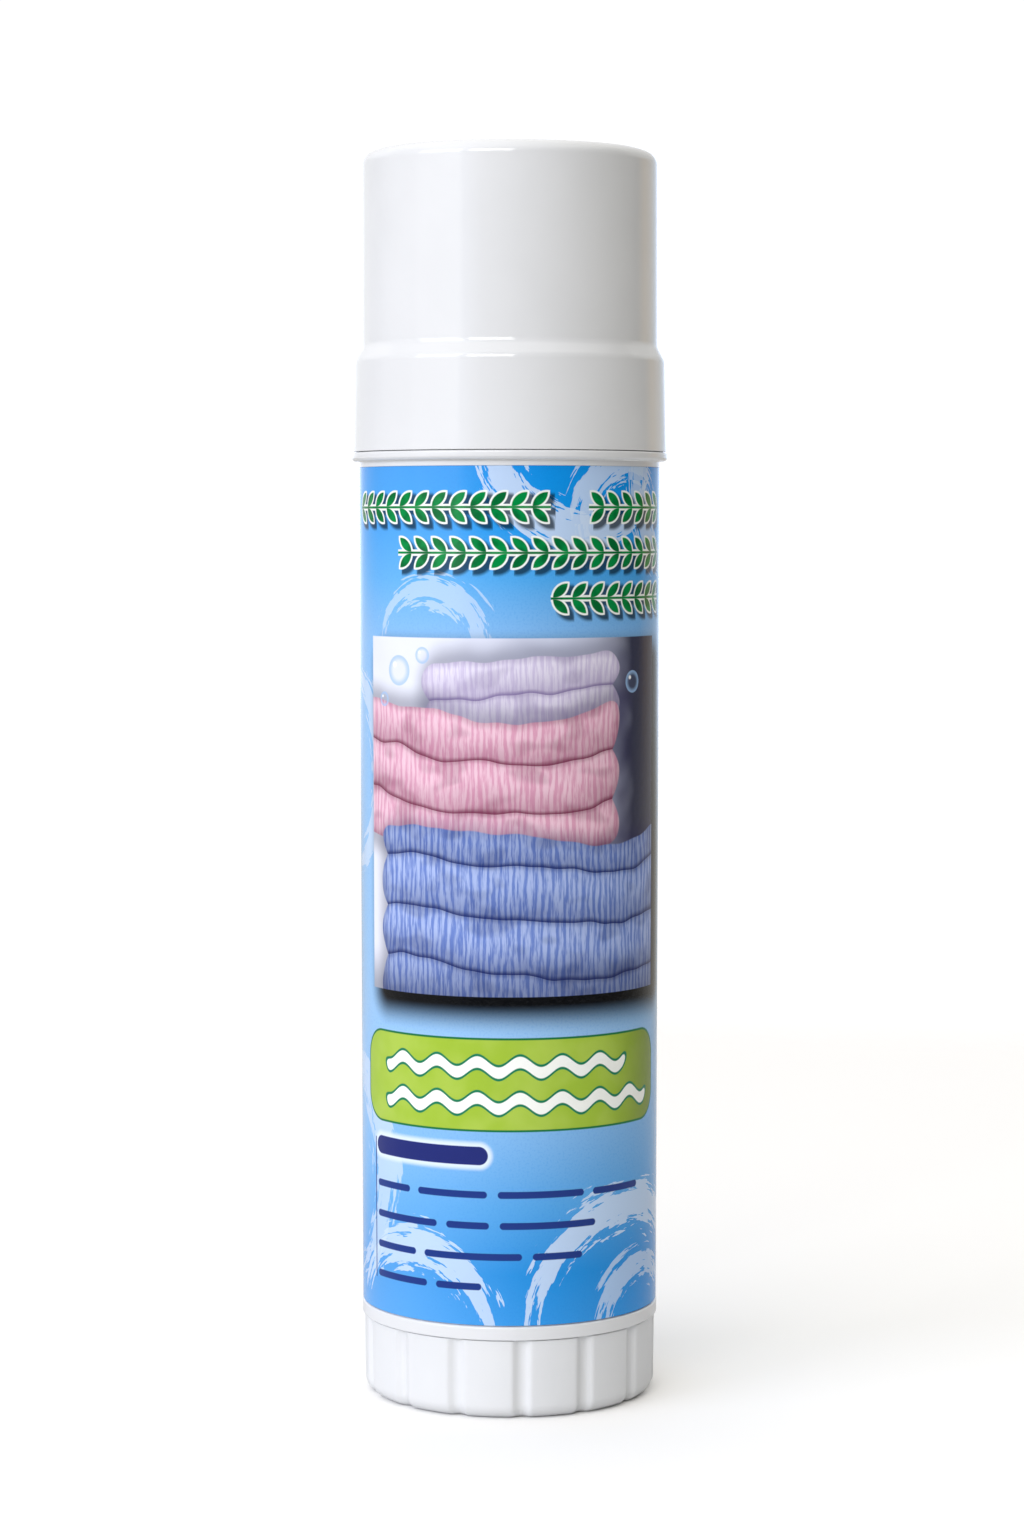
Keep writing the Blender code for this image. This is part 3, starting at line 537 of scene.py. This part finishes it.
leaf_green = printed(DEEP_GREEN, faded(inks, noisy(spot, 0.5), 0.35, 0.65), FRESH_GREEN)
for level, middle, half_length, leftwards in (
    (93.2, -8.4, 12.6, False),
    (93.2, 14.7, 6.3, True),
    (88.6, 4.2, 16.8, True),
    (84.0, 12.6, 8.4, False),
):
    row = rounded_box(spot, (middle, level), (half_length, 1.9), 0.3)
    row_mask = within(row, blur=0.02)
    cast = garland(shifted(spot, SHADOW_SHIFT, -SHADOW_SHIFT), level, leftwards)
    cast_row = rounded_box(spot, (middle + 0.5, level - 0.4), (half_length, 2.3), 0.3)
    cast = both(within(cast_row), faded(inks, cast, 0.05, 0.55, 0.85, 0))
    artwork = printed(artwork, cast, LEAF_SHADOW)
    leaves = garland(spot, level, leftwards)
    outlined = both(row_mask, within(leaves, OUTLINE_WIDTH))
    artwork = printed(artwork, outlined, LEAF_OUTLINE)
    artwork = printed(artwork, both(row_mask, within(leaves)), leaf_green)

# The picture: folded striped cloths before a lilac wall, with a few soap bubbles; its right
# edge is darkened, partly as the picture's own dim wall and partly with painted shade
PICTURE_MIDDLE, PICTURE_HALF = (0.9, 61.8), (18.3, 18.2)
STRIPE_PITCH, STRIPE_WANDER = 0.72, 14
SOFT_CORNER, SHADE_CORNER = 1.6, 2.4
FRAME_SHADOW = rgb(0, 2, 8)
BRIGHT_WALL, LILAC_WALL = rgb(233, 236, 246), rgb(214, 220, 242)
CLOUDED_WALL = rgb(226, 229, 246)
DIM_WALL_AND_SHADE, CLOTH_SHADE, FOOT_SHADE = rgb(32, 34, 62), rgb(44, 36, 84), rgb(14, 22, 70)
SOAP_FILM, GLINT = rgb(160, 196, 238), rgb(255, 255, 255)
cast_shadow = rounded_box(spot, (2.6, 60.3), (18.3, 17.9), 1.4)
artwork = printed(artwork, faded(inks, cast_shadow, -0.5, 2.9, 1, 0), FRAME_SHADOW)
picture_mask = within(rounded_box(spot, PICTURE_MIDDLE, PICTURE_HALF, 0.05))
picture = printed(BRIGHT_WALL, faded(inks, across, -15, 9), LILAC_WALL)
picture = printed(picture, faded(inks, noisy(spot, 0.12), 0.45, 0.8, 0, 0.5), CLOUDED_WALL)
# The wall darkens towards the picture's right edge: partly the picture's dim wall, partly
# painted shade where the film turns away from the light
dim_wall_and_shade_reach = maths(inks, "MULTIPLY_ADD", noisy(spot, 0.15), 5, across)
picture = printed(picture, faded(inks, dim_wall_and_shade_reach, 11.5, 17.5, 0, 0.96), DIM_WALL_AND_SHADE)
sway = noisy(vector("MULTIPLY", spot, (0.3, 0.12, 0)), 1.0)
stripe_run = maths(inks, "MULTIPLY", across, math.tau / STRIPE_PITCH)
stripe_run = maths(inks, "MULTIPLY_ADD", sway, STRIPE_WANDER, stripe_run)
stripes = maths(inks, "SINE", stripe_run)
threads = noisy(vector("MULTIPLY", spot, (1, 0.08, 0)), 3.4, detail=3, roughness=0.7)
weave = maths(inks, "MULTIPLY_ADD", stripes, 0.11, threads)
dents = noisy(vector("MULTIPLY", spot, (0.6, 1, 0)), 0.38, detail=1)
soft_dents = faded(inks, dents, 0.5, 0.75)
for middle, half_size, fold, hang, shades in (
    ((1.5, 74.0), (11.0, 4.2), 4.2, 3.4, ((128, 112, 158), (210, 200, 228), (232, 226, 243))),
    ((-6.0, 65.8), (18.5, 7.5), 5.0, 1.7, ((112, 38, 70), (222, 162, 188), (240, 202, 217))),
    ((5.0, 50.4), (20.5, 9.8), 5.5, 0.0, ((16, 30, 94), (110, 135, 203), (172, 189, 233))),
):
    dark, plain, bright = (rgb(*shade) for shade in shades)
    slump = maths(inks, "SINE", maths(inks, "MULTIPLY_ADD", across, 0.16, hang))
    slump = maths(inks, "MULTIPLY_ADD", noisy(spot, 0.09), 3.0, slump)
    sagged = maths(inks, "ADD", up, maths(inks, "SUBTRACT", slump, 1.5))
    place = point(across, sagged)
    from_foot = maths(inks, "SUBTRACT", sagged, middle[1] - half_size[1])
    roll = maths(inks, "FRACT", maths(inks, "DIVIDE", from_foot, fold))
    bulge = maths(inks, "SINE", maths(inks, "MULTIPLY", roll, math.pi))
    pinch = maths(inks, "MULTIPLY_ADD", bulge, -1, 1)
    outline = maths(inks, "ADD", rounded_box(place, middle, half_size, SOFT_CORNER), pinch)
    cloth = printed(plain, faded(inks, weave, 0.36, 0.62), bright)
    cloth = printed(cloth, both(soft_dents, 0.3), dark)
    cloth = printed(cloth, faded(inks, roll, 0.02, 0.7, 0.4, 0), dark)
    cloth = printed(cloth, faded(inks, roll, 0.0, 0.11, 0.85, 0), dark)
    cloth = printed(cloth, faded(inks, roll, 0.9, 1.0, 0, 0.3), dark)
    cloth = printed(cloth, faded(inks, outline, -1.3, 0.1, 0, 0.35), dark)
    behind = rounded_box(place, (middle[0] + 0.6, middle[1]), half_size, SHADE_CORNER)
    picture = printed(picture, faded(inks, behind, -0.5, 2.2, 0.5, 0), CLOTH_SHADE)
    picture = printed(picture, within(outline, blur=0.1), cloth)
for middle, size in (
    ((-12.6, 76.6), 1.5),
    ((-9.4, 78.2), 0.8),
    ((14.6, 75.4), 1.1),
    ((-15.0, 73.6), 0.7),
):
    from_middle = vector("LENGTH", shifted(spot, *middle))
    skin = faded(inks, from_middle, size * 0.5, size, 0.05, 0.75)
    bubble = both(skin, faded(inks, from_middle, size, size + 0.1, 1, 0))
    picture = printed(picture, bubble, SOAP_FILM)
    glint = vector("LENGTH", shifted(spot, middle[0] - size * 0.4, middle[1] + size * 0.4))
    glint = faded(inks, glint, size * 0.1, size * 0.26, 1, 0)
    picture = printed(picture, glint, GLINT)
picture = printed(picture, faded(inks, up, 43.6, 48.5, 0.55, 0), FOOT_SHADE)
artwork = printed(artwork, picture_mask, picture)

# The lime banner, with two white waves outlined in green, and its right end darkened with
# painted shade
BANNER_MIDDLE, BANNER_HALF, BANNER_CORNER = (0.4, 34.6), (18.9, 4.6), 2.8
WAVE_LENGTH, WAVE_HEIGHT = 4.4, 0.55
WAVE_HALF_WIDTH, WAVE_OUTLINE = 0.58, 0.85
BANNER_EDGE, WAVE_EDGE, WAVE_WHITE = rgb(18, 112, 60), rgb(16, 122, 84), rgb(250, 252, 246)
DEEP_LIME, BRIGHT_LIME, LIME_IN_PAINTED_SHADE = rgb(160, 192, 56), rgb(172, 200, 76), rgb(112, 132, 30)
banner = rounded_box(spot, BANNER_MIDDLE, BANNER_HALF, BANNER_CORNER)
artwork = printed(artwork, within(banner, 0.22), BANNER_EDGE)
lime = printed(DEEP_LIME, faded(inks, noisy(spot, 0.2), 0.3, 0.7), BRIGHT_LIME)
# Painted shade: the banner's right end, turned away from the light, is darkened
lime = printed(lime, faded(inks, across, 9, 20, 0, 0.9), LIME_IN_PAINTED_SHADE)
artwork = printed(artwork, within(banner), lime)
swell = maths(inks, "SINE", maths(inks, "MULTIPLY", across, math.tau / WAVE_LENGTH))
for level, middle, half_length in ((36.4, -0.6, 13.6), (32.7, 1.4, 15.6)):
    crest = maths(inks, "MULTIPLY_ADD", swell, WAVE_HEIGHT, level)
    off_wave = maths(inks, "ABSOLUTE", maths(inks, "SUBTRACT", up, crest))
    off_middle = maths(inks, "ABSOLUTE", maths(inks, "SUBTRACT", across, middle))
    past_end = maths(inks, "SUBTRACT", off_middle, half_length)
    wave = vector("LENGTH", point(maths(inks, "MAXIMUM", past_end, 0), off_wave))
    artwork = printed(artwork, within(wave, WAVE_OUTLINE), WAVE_EDGE)
    artwork = printed(artwork, within(wave, WAVE_HALF_WIDTH), WAVE_WHITE)

# Ruled lines: a thick stroke with a pale glow, an upright rule and four broken rows
NAVY, DEEP_NAVY, PALE_GLOW = rgb(22, 52, 128), rgb(26, 38, 112), rgb(226, 238, 252)
DASH_HALF_HEIGHT, DASH_GAP = 0.36, 1.1
thick_stroke = rounded_box(spot, (-9.5, 27.3), (7.3, 0.95), 0.95)
artwork = printed(artwork, faded(inks, thick_stroke, 0.15, 0.75, 0.9, 0), PALE_GLOW)
artwork = printed(artwork, within(thick_stroke), DEEP_NAVY)
rule = rounded_box(spot, (-17.1, 20.6), (0.1, 7.4), 0.1)
artwork = printed(artwork, within(rule, blur=0.04), NAVY)
for level, start, dashes in (
    (23.3, -16.6, (5.4, 7.8, 9.2, 6.6)),
    (20.1, -16.6, (8.8, 4.6, 10.4)),
    (16.9, -16.6, (6.2, 10.6, 5.4)),
    (13.8, -16.6, (7.6, 5.0)),
):
    for length in dashes:
        half_size = (length / 2, DASH_HALF_HEIGHT)
        dash = rounded_box(spot, (start + length / 2, level), half_size, DASH_HALF_HEIGHT)
        artwork = printed(artwork, within(dash), NAVY)
        start += length + DASH_GAP

# The varnish over the inks, with the film's slight waviness
FILM_IOR = 1.3
film_shader = inks.nodes["Principled BSDF"]
plug(film_shader.inputs["Base Color"], artwork)
film_surface = noisy(spot, 1.1, detail=4)
plug(film_shader.inputs["Roughness"], faded(inks, film_surface, 0.3, 0.7, 0.1, 0.16))
film_relief = add_node(inks, "Bump", Height=noisy(spot, 1.6), Strength=0.5, Distance=0.00002)
plug(film_shader.inputs["Normal"], film_relief.outputs["Normal"])
film_shader.inputs["IOR"].default_value = FILM_IOR
label.data.materials.append(film_print)
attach(label, "barrel")
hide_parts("label")

# ---- Spindle washer ----
# A flat ring of dark rubber between the spindle's flange and the bulkhead. It keeps the
# soft cake from creeping down past the bearing.


def dress(node_name, material):
    """Gives a CAD piece that stays in view its finish."""
    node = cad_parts[node_name]
    node.data.materials.clear()
    node.data.materials.append(material)


washer_rubber = moulded_plastic(
    "washer_rubber",
    colour=rgb(52, 52, 54),
    tint=rgb(62, 61, 60),
    gloss=0.62,
    gloss_spread=0.08,
    skin=2600,
    skin_depth=0.00003,
)
dress("spindle_seal", washer_rubber)

# ---- Spindle ----
# The lead screw, moulded with its journal, flange and splined foot in natural white plastic.
# It is pushed up through the bulkhead and held there by the dial.

screw_white = moulded_plastic(
    "natural_white_plastic",
    colour=rgb(226, 227, 226),
    tint=rgb(219, 220, 217),
    gloss=0.38,
    gloss_spread=0.07,
    skin=1500,
    skin_depth=0.00002,
)
dress("spindle", screw_white)

# ---- Dial ----
# The turning knob that the stick stands on, moulded in satin white with fourteen grip flutes.
# It snaps over the barrel's spigot, and its hub takes the spindle's splined foot.

DIAL_RADIUS, DIAL_FOOT_RADIUS = 15.35, 15.28
DIAL_BORE, DIAL_BEAD_RADIUS = 14.05, 13.55
DIAL_BEAD_FOOT, DIAL_BEAD_TOP = 4.5, 5.2
DIAL_TOP, DIAL_FLOOR = 8.18, 1.6
FOOT_FILLET = 1.5
RECESS_RADIUS, RECESS = 10.68, 0.6
HUB_RADIUS, HUB_BORE, HUB_TOP = 5.4, 4.0, 8.4
FLUTES = 14
FLUTE_RADIUS, FLUTE_DEPTH, FLUTE_EDGE = 1.1, 0.45, 0.14
FLUTE_TURN = math.radians(-90 + 4.75)
FLUTED_WALL, FLUTED_FOOT = 14.6, 13.7
FLOOR_RIBS, FLOOR_RIB_TOP = 8, 2.8
FLOOR_RIB_HALF_ANGLE = math.radians(2.7)
DIAL_SEGMENTS = FLUTES * 30


def dial_shape(radius, level, angle):
    """Raises the floor's ribs, and cuts the flutes into the outer wall with softened edges."""
    past_hub = HUB_RADIUS - ON_FACE < radius < DIAL_BORE + ON_FACE
    if past_hub and DIAL_FLOOR - ON_FACE < level < FLOOR_RIB_TOP:
        spacing = math.tau / FLOOR_RIBS
        if abs(angle % spacing - spacing / 2) < FLOOR_RIB_HALF_ANGLE:
            level = FLOOR_RIB_TOP
    if radius < (FLUTED_WALL if level > FOOT_FILLET else FLUTED_FOOT):
        return radius, level
    pitch = math.tau / FLUTES
    off_flute = (angle - FLUTE_TURN + pitch / 2) % pitch - pitch / 2
    cutter_middle = DIAL_RADIUS - FLUTE_DEPTH + FLUTE_RADIUS
    reach = FLUTE_RADIUS**2 - (cutter_middle * math.sin(off_flute)) ** 2
    wall = DIAL_RADIUS
    flute = DIAL_RADIUS + 1
    if reach > 0:
        flute = cutter_middle * math.cos(off_flute) - math.sqrt(reach)
    blend = max(FLUTE_EDGE - abs(wall - flute), 0) / FLUTE_EDGE
    cut = wall - (min(wall, flute) - blend * blend * FLUTE_EDGE / 4)
    return radius - cut, level


dial = turned(
    "dial_knob",
    rounded(
        [
            (DIAL_BORE, DIAL_TOP, 0.1),
            (DIAL_RADIUS, DIAL_TOP, 0.1),
            (DIAL_FOOT_RADIUS, 0, FOOT_FILLET),
            (RECESS_RADIUS + RECESS, 0, 0.3),
            (RECESS_RADIUS, RECESS, 0.3),
            (0, RECESS, 0),
            (0, DIAL_FLOOR, 0),
            (HUB_BORE, DIAL_FLOOR, 0.1),
            (HUB_BORE, HUB_TOP, 0.2),
            (HUB_RADIUS, HUB_TOP, 0.3),
            (HUB_RADIUS, DIAL_FLOOR, 0.4),
            (DIAL_BORE, DIAL_FLOOR, 0.4),
            (DIAL_BORE, DIAL_BEAD_FOOT - 0.3, 0.1),
            (DIAL_BEAD_RADIUS, DIAL_BEAD_FOOT, 0.1),
            (DIAL_BEAD_RADIUS, DIAL_BEAD_TOP, 0.1),
            (DIAL_BORE, DIAL_BEAD_TOP + 0.5, 0.1),
        ]
    ),
    segments=DIAL_SEGMENTS,
    shape=dial_shape,
)
dial_white = moulded_plastic(
    "satin_white_plastic",
    colour=rgb(230, 231, 232),
    tint=rgb(226, 227, 228),
    gloss=0.34,
    gloss_spread=0.05,
    skin=1700,
    skin_depth=0.00002,
)
dial.data.materials.append(dial_white)
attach(dial, "dial")
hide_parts("dial")

# ---- Carrier ----
# The lifting cup: nut, plate and cup wall in one natural white moulding, notched for the
# barrel's ribs. It is threaded down the spindle before the cake is cast into it.

dress("carrier", screw_white)

# ---- Cake ----
# The stain remover itself, a soft off-white soap cast warm round the spindle and into the cup.
# Its sides carry faint cooling rings and its top sinks a little unevenly.

CAKE_RADIUS = 12.6
CAKE_TOP, CAKE_ROUND = 126.3, 2.2
CAKE_SHOULDER = 25.4
CAKE_FOOT_RADIUS, CAKE_FOOT = 11.1, 19.9
CAKE_BORE, CAKE_BORE_TOP = 4.1, 117.5
NUT_HOLLOW_RADIUS, NUT_HOLLOW_TOP = 5.55, 22.9
CAKE_SEGMENTS, SIDE_ROWS, SIDE_ROW_SPACING = 96, 40, 2.5
TOP_ROWS = (0.001, 2.0, 4.0, 6.0, 8.0, 9.6)
MIDDLE_RADIUS, SIDE_RADIUS = 2.0, 8.0
TOP_MIDDLE_SINK, TOP_SINK = 0.14, 0.12
SHRINK, HOLLOW_DEPTH, HOLLOWS_PER_MM = 0.05, 0.06, 0.22
COOLING_RING_DEPTH, COOLING_RING_PACE = 0.02, 1.9


def cake_shape(radius, level, angle):
    """Sinks the cast top a little, and lays cooling rings and soft hollows on the sides."""
    if radius < MIDDLE_RADIUS or level < CAKE_SHOULDER:
        return radius, level
    place = Vector((radius * math.cos(angle), radius * math.sin(angle), level))
    soft = noise.noise(place * HOLLOWS_PER_MM)
    if level > CAKE_TOP - ON_FACE:
        return radius, level - TOP_SINK - TOP_SINK * soft
    if radius > SIDE_RADIUS:
        rings = COOLING_RING_DEPTH * math.sin(level * COOLING_RING_PACE)
        radius += min(HOLLOW_DEPTH * soft + rings - SHRINK, 0)
    return radius, level


cake_levels = [CAKE_TOP - CAKE_ROUND - SIDE_ROW_SPACING * step for step in range(SIDE_ROWS)]
cake_outline = rounded(
    [(radius, CAKE_TOP, 0) for radius in TOP_ROWS]
    + [(CAKE_RADIUS, CAKE_TOP, CAKE_ROUND)]
    + [(CAKE_RADIUS, level - 1, 0) for level in cake_levels]
    + [
        (CAKE_RADIUS, CAKE_SHOULDER, 0.3),
        (CAKE_FOOT_RADIUS, CAKE_SHOULDER, 0.2),
        (CAKE_FOOT_RADIUS, CAKE_FOOT, 0.3),
        (NUT_HOLLOW_RADIUS, CAKE_FOOT, 0.2),
        (NUT_HOLLOW_RADIUS, NUT_HOLLOW_TOP, 0.2),
        (CAKE_BORE, NUT_HOLLOW_TOP, 0.2),
        (CAKE_BORE, CAKE_BORE_TOP, 0.3),
        (0, CAKE_BORE_TOP, 0),
    ]
)
cake_outline[0] = (0, CAKE_TOP - TOP_MIDDLE_SINK)
cake = turned("cake_body", cake_outline, segments=CAKE_SEGMENTS, shape=cake_shape)

SOAP_IOR = 1.45
SOAP_GLOW, SOAP_GLOW_REACH = 0.15, (0.003, 0.0028, 0.0022)

soap = bpy.data.materials.new("waxy_soap")
soap.use_nodes = True
soap_tree = soap.node_tree
soap_shader = soap_tree.nodes["Principled BSDF"]
soap_place = add_node(soap_tree, "TexCoord").outputs["Object"]
soap_cloud = grain(soap_tree, soap_place, 130, detail=5, roughness=0.6)
soap_colour = add_node(soap_tree, "Mix", {"data_type": "RGBA"})
plug(soap_colour.inputs[0], faded(soap_tree, soap_cloud, 0.35, 0.7))
plug(soap_colour.inputs[6], rgb(240, 240, 233))
plug(soap_colour.inputs[7], rgb(232, 232, 222))
plug(soap_shader.inputs["Base Color"], soap_colour.outputs[2])
soap_polish = grain(soap_tree, soap_place, 420, detail=4, roughness=0.6)
plug(soap_shader.inputs["Roughness"], faded(soap_tree, soap_polish, 0.3, 0.7, 0.42, 0.6))
soap_pits = grain(soap_tree, soap_place, 1100, detail=5, roughness=0.7)
soap_relief = add_node(soap_tree, "Bump", Height=soap_pits, Strength=0.7, Distance=0.00006)
plug(soap_shader.inputs["Normal"], soap_relief.outputs["Normal"])
soap_shader.inputs["Subsurface Weight"].default_value = SOAP_GLOW
soap_shader.inputs["Subsurface Radius"].default_value = SOAP_GLOW_REACH
soap_shader.inputs["IOR"].default_value = SOAP_IOR
cake.data.materials.append(soap)
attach(cake, "carrier")
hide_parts("stain_stick")

# ---- Cap liner ----
# A disc of matt foam pressed into the cap's roof. It closes the mouth, so that the moist cake
# doesn't dry out.

liner_foam = moulded_plastic(
    "liner_foam",
    colour=rgb(228, 227, 220),
    tint=rgb(216, 215, 207),
    gloss=0.85,
    gloss_spread=0.06,
    skin=3200,
    skin_depth=0.00008,
)
dress("cap_seal", liner_foam)

# ---- Cap ----
# A pull-off cap in high-gloss white polypropylene, straight above and stepped out to a wider
# skirt over the neck. Six small pads inside the skirt snap under the neck's bead.

CAP_TOP, CAP_CEILING = 130.0, 128.7
CAP_TOP_RADIUS, CAP_STEP_RADIUS = 15.45, 15.5
CAP_BORE = 14.65
SKIRT_TOP_RADIUS, SKIRT_FOOT_RADIUS = 16.26, 16.45
SKIRT_FOOT, SKIRT_TOP, SKIRT_CEILING = 98.99, 108.5, 107.45
SKIRT_BORE = 15.5
SNAP_PADS = 6
PAD_RISE, PAD_HALF_WIDTH = 0.3, 1.5
PAD_BOTTOM, PAD_TOP, PAD_EASE = 101.3, 102.1, 0.08


def cap_shape(radius, level, angle):
    """Raises the six snap pads inside the skirt."""
    in_pad = PAD_BOTTOM - ON_FACE < level < PAD_TOP + ON_FACE and radius < SKIRT_BORE + 0.15
    pitch = math.tau / SNAP_PADS
    off_pad = abs((angle + pitch / 2) % pitch - pitch / 2)
    if in_pad and off_pad * SKIRT_BORE < PAD_HALF_WIDTH:
        radius = SKIRT_BORE - PAD_RISE
    return radius, level


cap = turned(
    "cap_shell",
    rounded(
        [
            (0, CAP_TOP, 0),
            (CAP_TOP_RADIUS, CAP_TOP, 1.35),
            (CAP_STEP_RADIUS, SKIRT_TOP + 1.4, 1.6),
            (SKIRT_TOP_RADIUS, SKIRT_TOP, 1.4),
            (SKIRT_FOOT_RADIUS, SKIRT_FOOT, 0.07),
            (SKIRT_BORE + 0.15, SKIRT_FOOT, 0.12),
            (SKIRT_BORE + 0.11, PAD_BOTTOM - PAD_EASE, 0),
            (SKIRT_BORE + 0.11, PAD_BOTTOM, 0),
            (SKIRT_BORE + 0.1, PAD_TOP, 0),
            (SKIRT_BORE + 0.1, PAD_TOP + PAD_EASE, 0),
            (SKIRT_BORE, SKIRT_CEILING, 0.3),
            (CAP_BORE + 0.05, SKIRT_CEILING + 0.8, 0.3),
            (CAP_BORE, CAP_CEILING - 0.3, 0),
            (CAP_BORE - 0.3, CAP_CEILING, 0.1),
            (0, CAP_CEILING, 0),
        ]
    ),
    shape=cap_shape,
)
cap_white = moulded_plastic(
    "high_gloss_white_cap",
    colour=rgb(229, 230, 231),
    tint=rgb(226, 227, 228),
    gloss=0.055,
    gloss_spread=0.02,
    skin=500,
    skin_depth=0.000006,
)
cap.data.materials.append(cap_white)
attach(cap, "cap")
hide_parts("cap")

# ---- Floor and light ----
# A matt white table that fades into a white sweep, whitened for the camera as a packshot's is.
# A bright window stands front left with two soft lamps beside it, a white wall behind, and
# little on the right.

TABLE_RADIUS = 0.33
TABLE_BOUNCE, TABLE_SEEN = (0.7, 0.7, 0.7, 1), (0.99, 0.985, 0.975, 1)

floor_mesh = bmesh.new()
bmesh.ops.create_circle(floor_mesh, cap_ends=True, segments=96, radius=TABLE_RADIUS)
floor = finished_mesh("table_top", floor_mesh)
floor_paint = bpy.data.materials.new("matt_white_paint")
floor_paint.use_nodes = True
floor_tree = floor_paint.node_tree
floor_shader = floor_tree.nodes["Principled BSDF"]
floor_seen = add_node(floor_tree, "LightPath").outputs["Is Camera Ray"]
floor_white = add_node(floor_tree, "Mix", {"data_type": "RGBA"})
plug(floor_white.inputs[0], floor_seen)
plug(floor_white.inputs[6], TABLE_BOUNCE)
plug(floor_white.inputs[7], TABLE_SEEN)
plug(floor_shader.inputs["Base Color"], floor_white.outputs[2])
floor_shader.inputs["Specular IOR Level"].default_value = 0.2
floor_place = add_node(floor_tree, "TexCoord").outputs["Object"]
floor_polish = grain(floor_tree, floor_place, 40)
plug(floor_shader.inputs["Roughness"], faded(floor_tree, floor_polish, 0.3, 0.7, 0.75, 0.85))
outwards = add_node(floor_tree, "VectorMath", {"operation": "LENGTH"})
plug(outwards.inputs[0], floor_place)
fade_start, fade_end = 0.75 * TABLE_RADIUS, 0.98 * TABLE_RADIUS
table_edge = faded(floor_tree, outwards.outputs["Value"], fade_start, fade_end, 1, 0)
plug(floor_shader.inputs["Alpha"], table_edge)
floor.data.materials.append(floor_paint)
floor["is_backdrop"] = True

studio = bpy.data.worlds.new("white_studio")
bpy.context.scene.world = studio
studio.use_nodes = True
sky = studio.node_tree
way = add_node(sky, "SeparateXYZ", Vector=add_node(sky, "TexCoord").outputs["Generated"])
frontwards = maths(sky, "MULTIPLY", way.outputs["Y"], -1)
bearing = maths(sky, "ARCTAN2", way.outputs["X"], frontwards)
turn_share = maths(sky, "MULTIPLY_ADD", bearing, 1 / math.tau, 0.5)
round_room = add_node(sky, "ValToRGB", Fac=turn_share)
ROOM_LIGHT = (
    (-180, (1.96, 2.2, 2.8)),
    (-150, (0.93, 0.94, 0.92)),
    (-120, (0.2, 0.2, 0.2)),
    (-78, (0.35, 0.35, 0.36)),
    (-75, (0.85, 0.85, 0.88)),
    (-60, (1.1, 1.1, 1.15)),
    (-38.5, (1.99, 2.08, 2.29)),
    (-36, (0.94, 1.06, 1.35)),
    (-20, (0.08, 0.08, 0.08)),
    (20, (0.08, 0.08, 0.08)),
    (117, (0.04, 0.04, 0.04)),
    (128, (0.68, 0.47, 0.22)),
    (155, (0.89, 1.03, 1.2)),
    (180, (1.96, 2.2, 2.8)),
)
UPPER_WALL, CEILING, BACKDROP = (0.9, 0.9, 0.9, 1), (1.16, 1.13, 1.07, 1), (1.05, 1.05, 1.05, 1)
STUDIO_FLOOR, DIM_FLOOR = (0.64, 0.61, 0.55, 1), (0.24, 0.22, 0.18, 1)
stops = round_room.color_ramp.elements
stops.remove(stops[1])
for number, (degrees, colour) in enumerate(ROOM_LIGHT):
    stop = stops.new((degrees + 180) / 360) if number else stops[0]
    stop.color = (*colour, 1)


def lit(under, mask, colour):
    """Lays a brighter or dimmer part of the room over the rest of it."""
    area = add_node(sky, "Mix", {"data_type": "RGBA"})
    plug(area.inputs[0], mask)
    plug(area.inputs[6], under)
    plug(area.inputs[7], colour)
    return area.outputs[2]


upwards = way.outputs["Z"]
at_back = faded(sky, frontwards, -0.2, -0.5)
above_wall = maths(sky, "MULTIPLY", at_back, faded(sky, upwards, 0.1, 0.3))
room = lit(round_room.outputs["Color"], above_wall, UPPER_WALL)
room = lit(room, faded(sky, upwards, 0.55, 0.8), CEILING)
front_right = maths(sky, "MULTIPLY", frontwards, 0.8)
front_right = maths(sky, "MULTIPLY_ADD", way.outputs["X"], 0.6, front_right)
studio_floor = lit(STUDIO_FLOOR, faded(sky, front_right, -0.2, 0.5), DIM_FLOOR)
room = lit(room, faded(sky, upwards, 0, -0.1), studio_floor)
seen = add_node(sky, "LightPath").outputs["Is Camera Ray"]
room = lit(room, seen, BACKDROP)
plug(sky.nodes["Background"].inputs["Color"], room)

LAMP_SIZE, LAMP_AIM = (0.7, 0.45), Vector((0, 0, 0.07))
for name, place, power, tone in (
    ("soft_lamp_left", (-0.9, -0.6, 0.52), 3.05, (0.95, 1.0, 1.22)),
    ("soft_lamp_front", (-0.27, -1.08, 0.54), 5.8, (1.0, 0.99, 0.97)),
):
    light = bpy.data.lights.new(name, "AREA")
    light.shape = "RECTANGLE"
    light.size, light.size_y = LAMP_SIZE
    light.energy = power
    light.color = tone
    lamp = bpy.data.objects.new(name, light)
    bpy.context.scene.collection.objects.link(lamp)
    lamp.location = place
    towards = LAMP_AIM - lamp.location
    lamp.rotation_euler = towards.to_track_quat("-Z", "Y").to_euler()

# ---- Camera ----
# Placed by the photograph's perspective: 374 mm in front, a little above the middle of the
# stick, and tilted down to it.

EYE = (0.000263, -0.3742, 0.0914)
TILT_DOWN = math.radians(3.905)
LENS, FILM_FRAME = 83.44, 36

camera_data = bpy.data.cameras.new("camera")
camera_data.sensor_fit = "VERTICAL"
camera_data.sensor_height = FILM_FRAME
camera_data.lens = LENS
camera_data.clip_start = 0.01
camera = bpy.data.objects.new("camera", camera_data)
bpy.context.scene.collection.objects.link(camera)
camera.location = EYE
camera.rotation_euler = (math.pi / 2 - TILT_DOWN, 0, 0)
bpy.context.scene.camera = camera
bpy.context.scene.view_settings.view_transform = "Standard"

plain = [[[float(x) for x in corner] for corner in box] for box in (cad_box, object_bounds())]
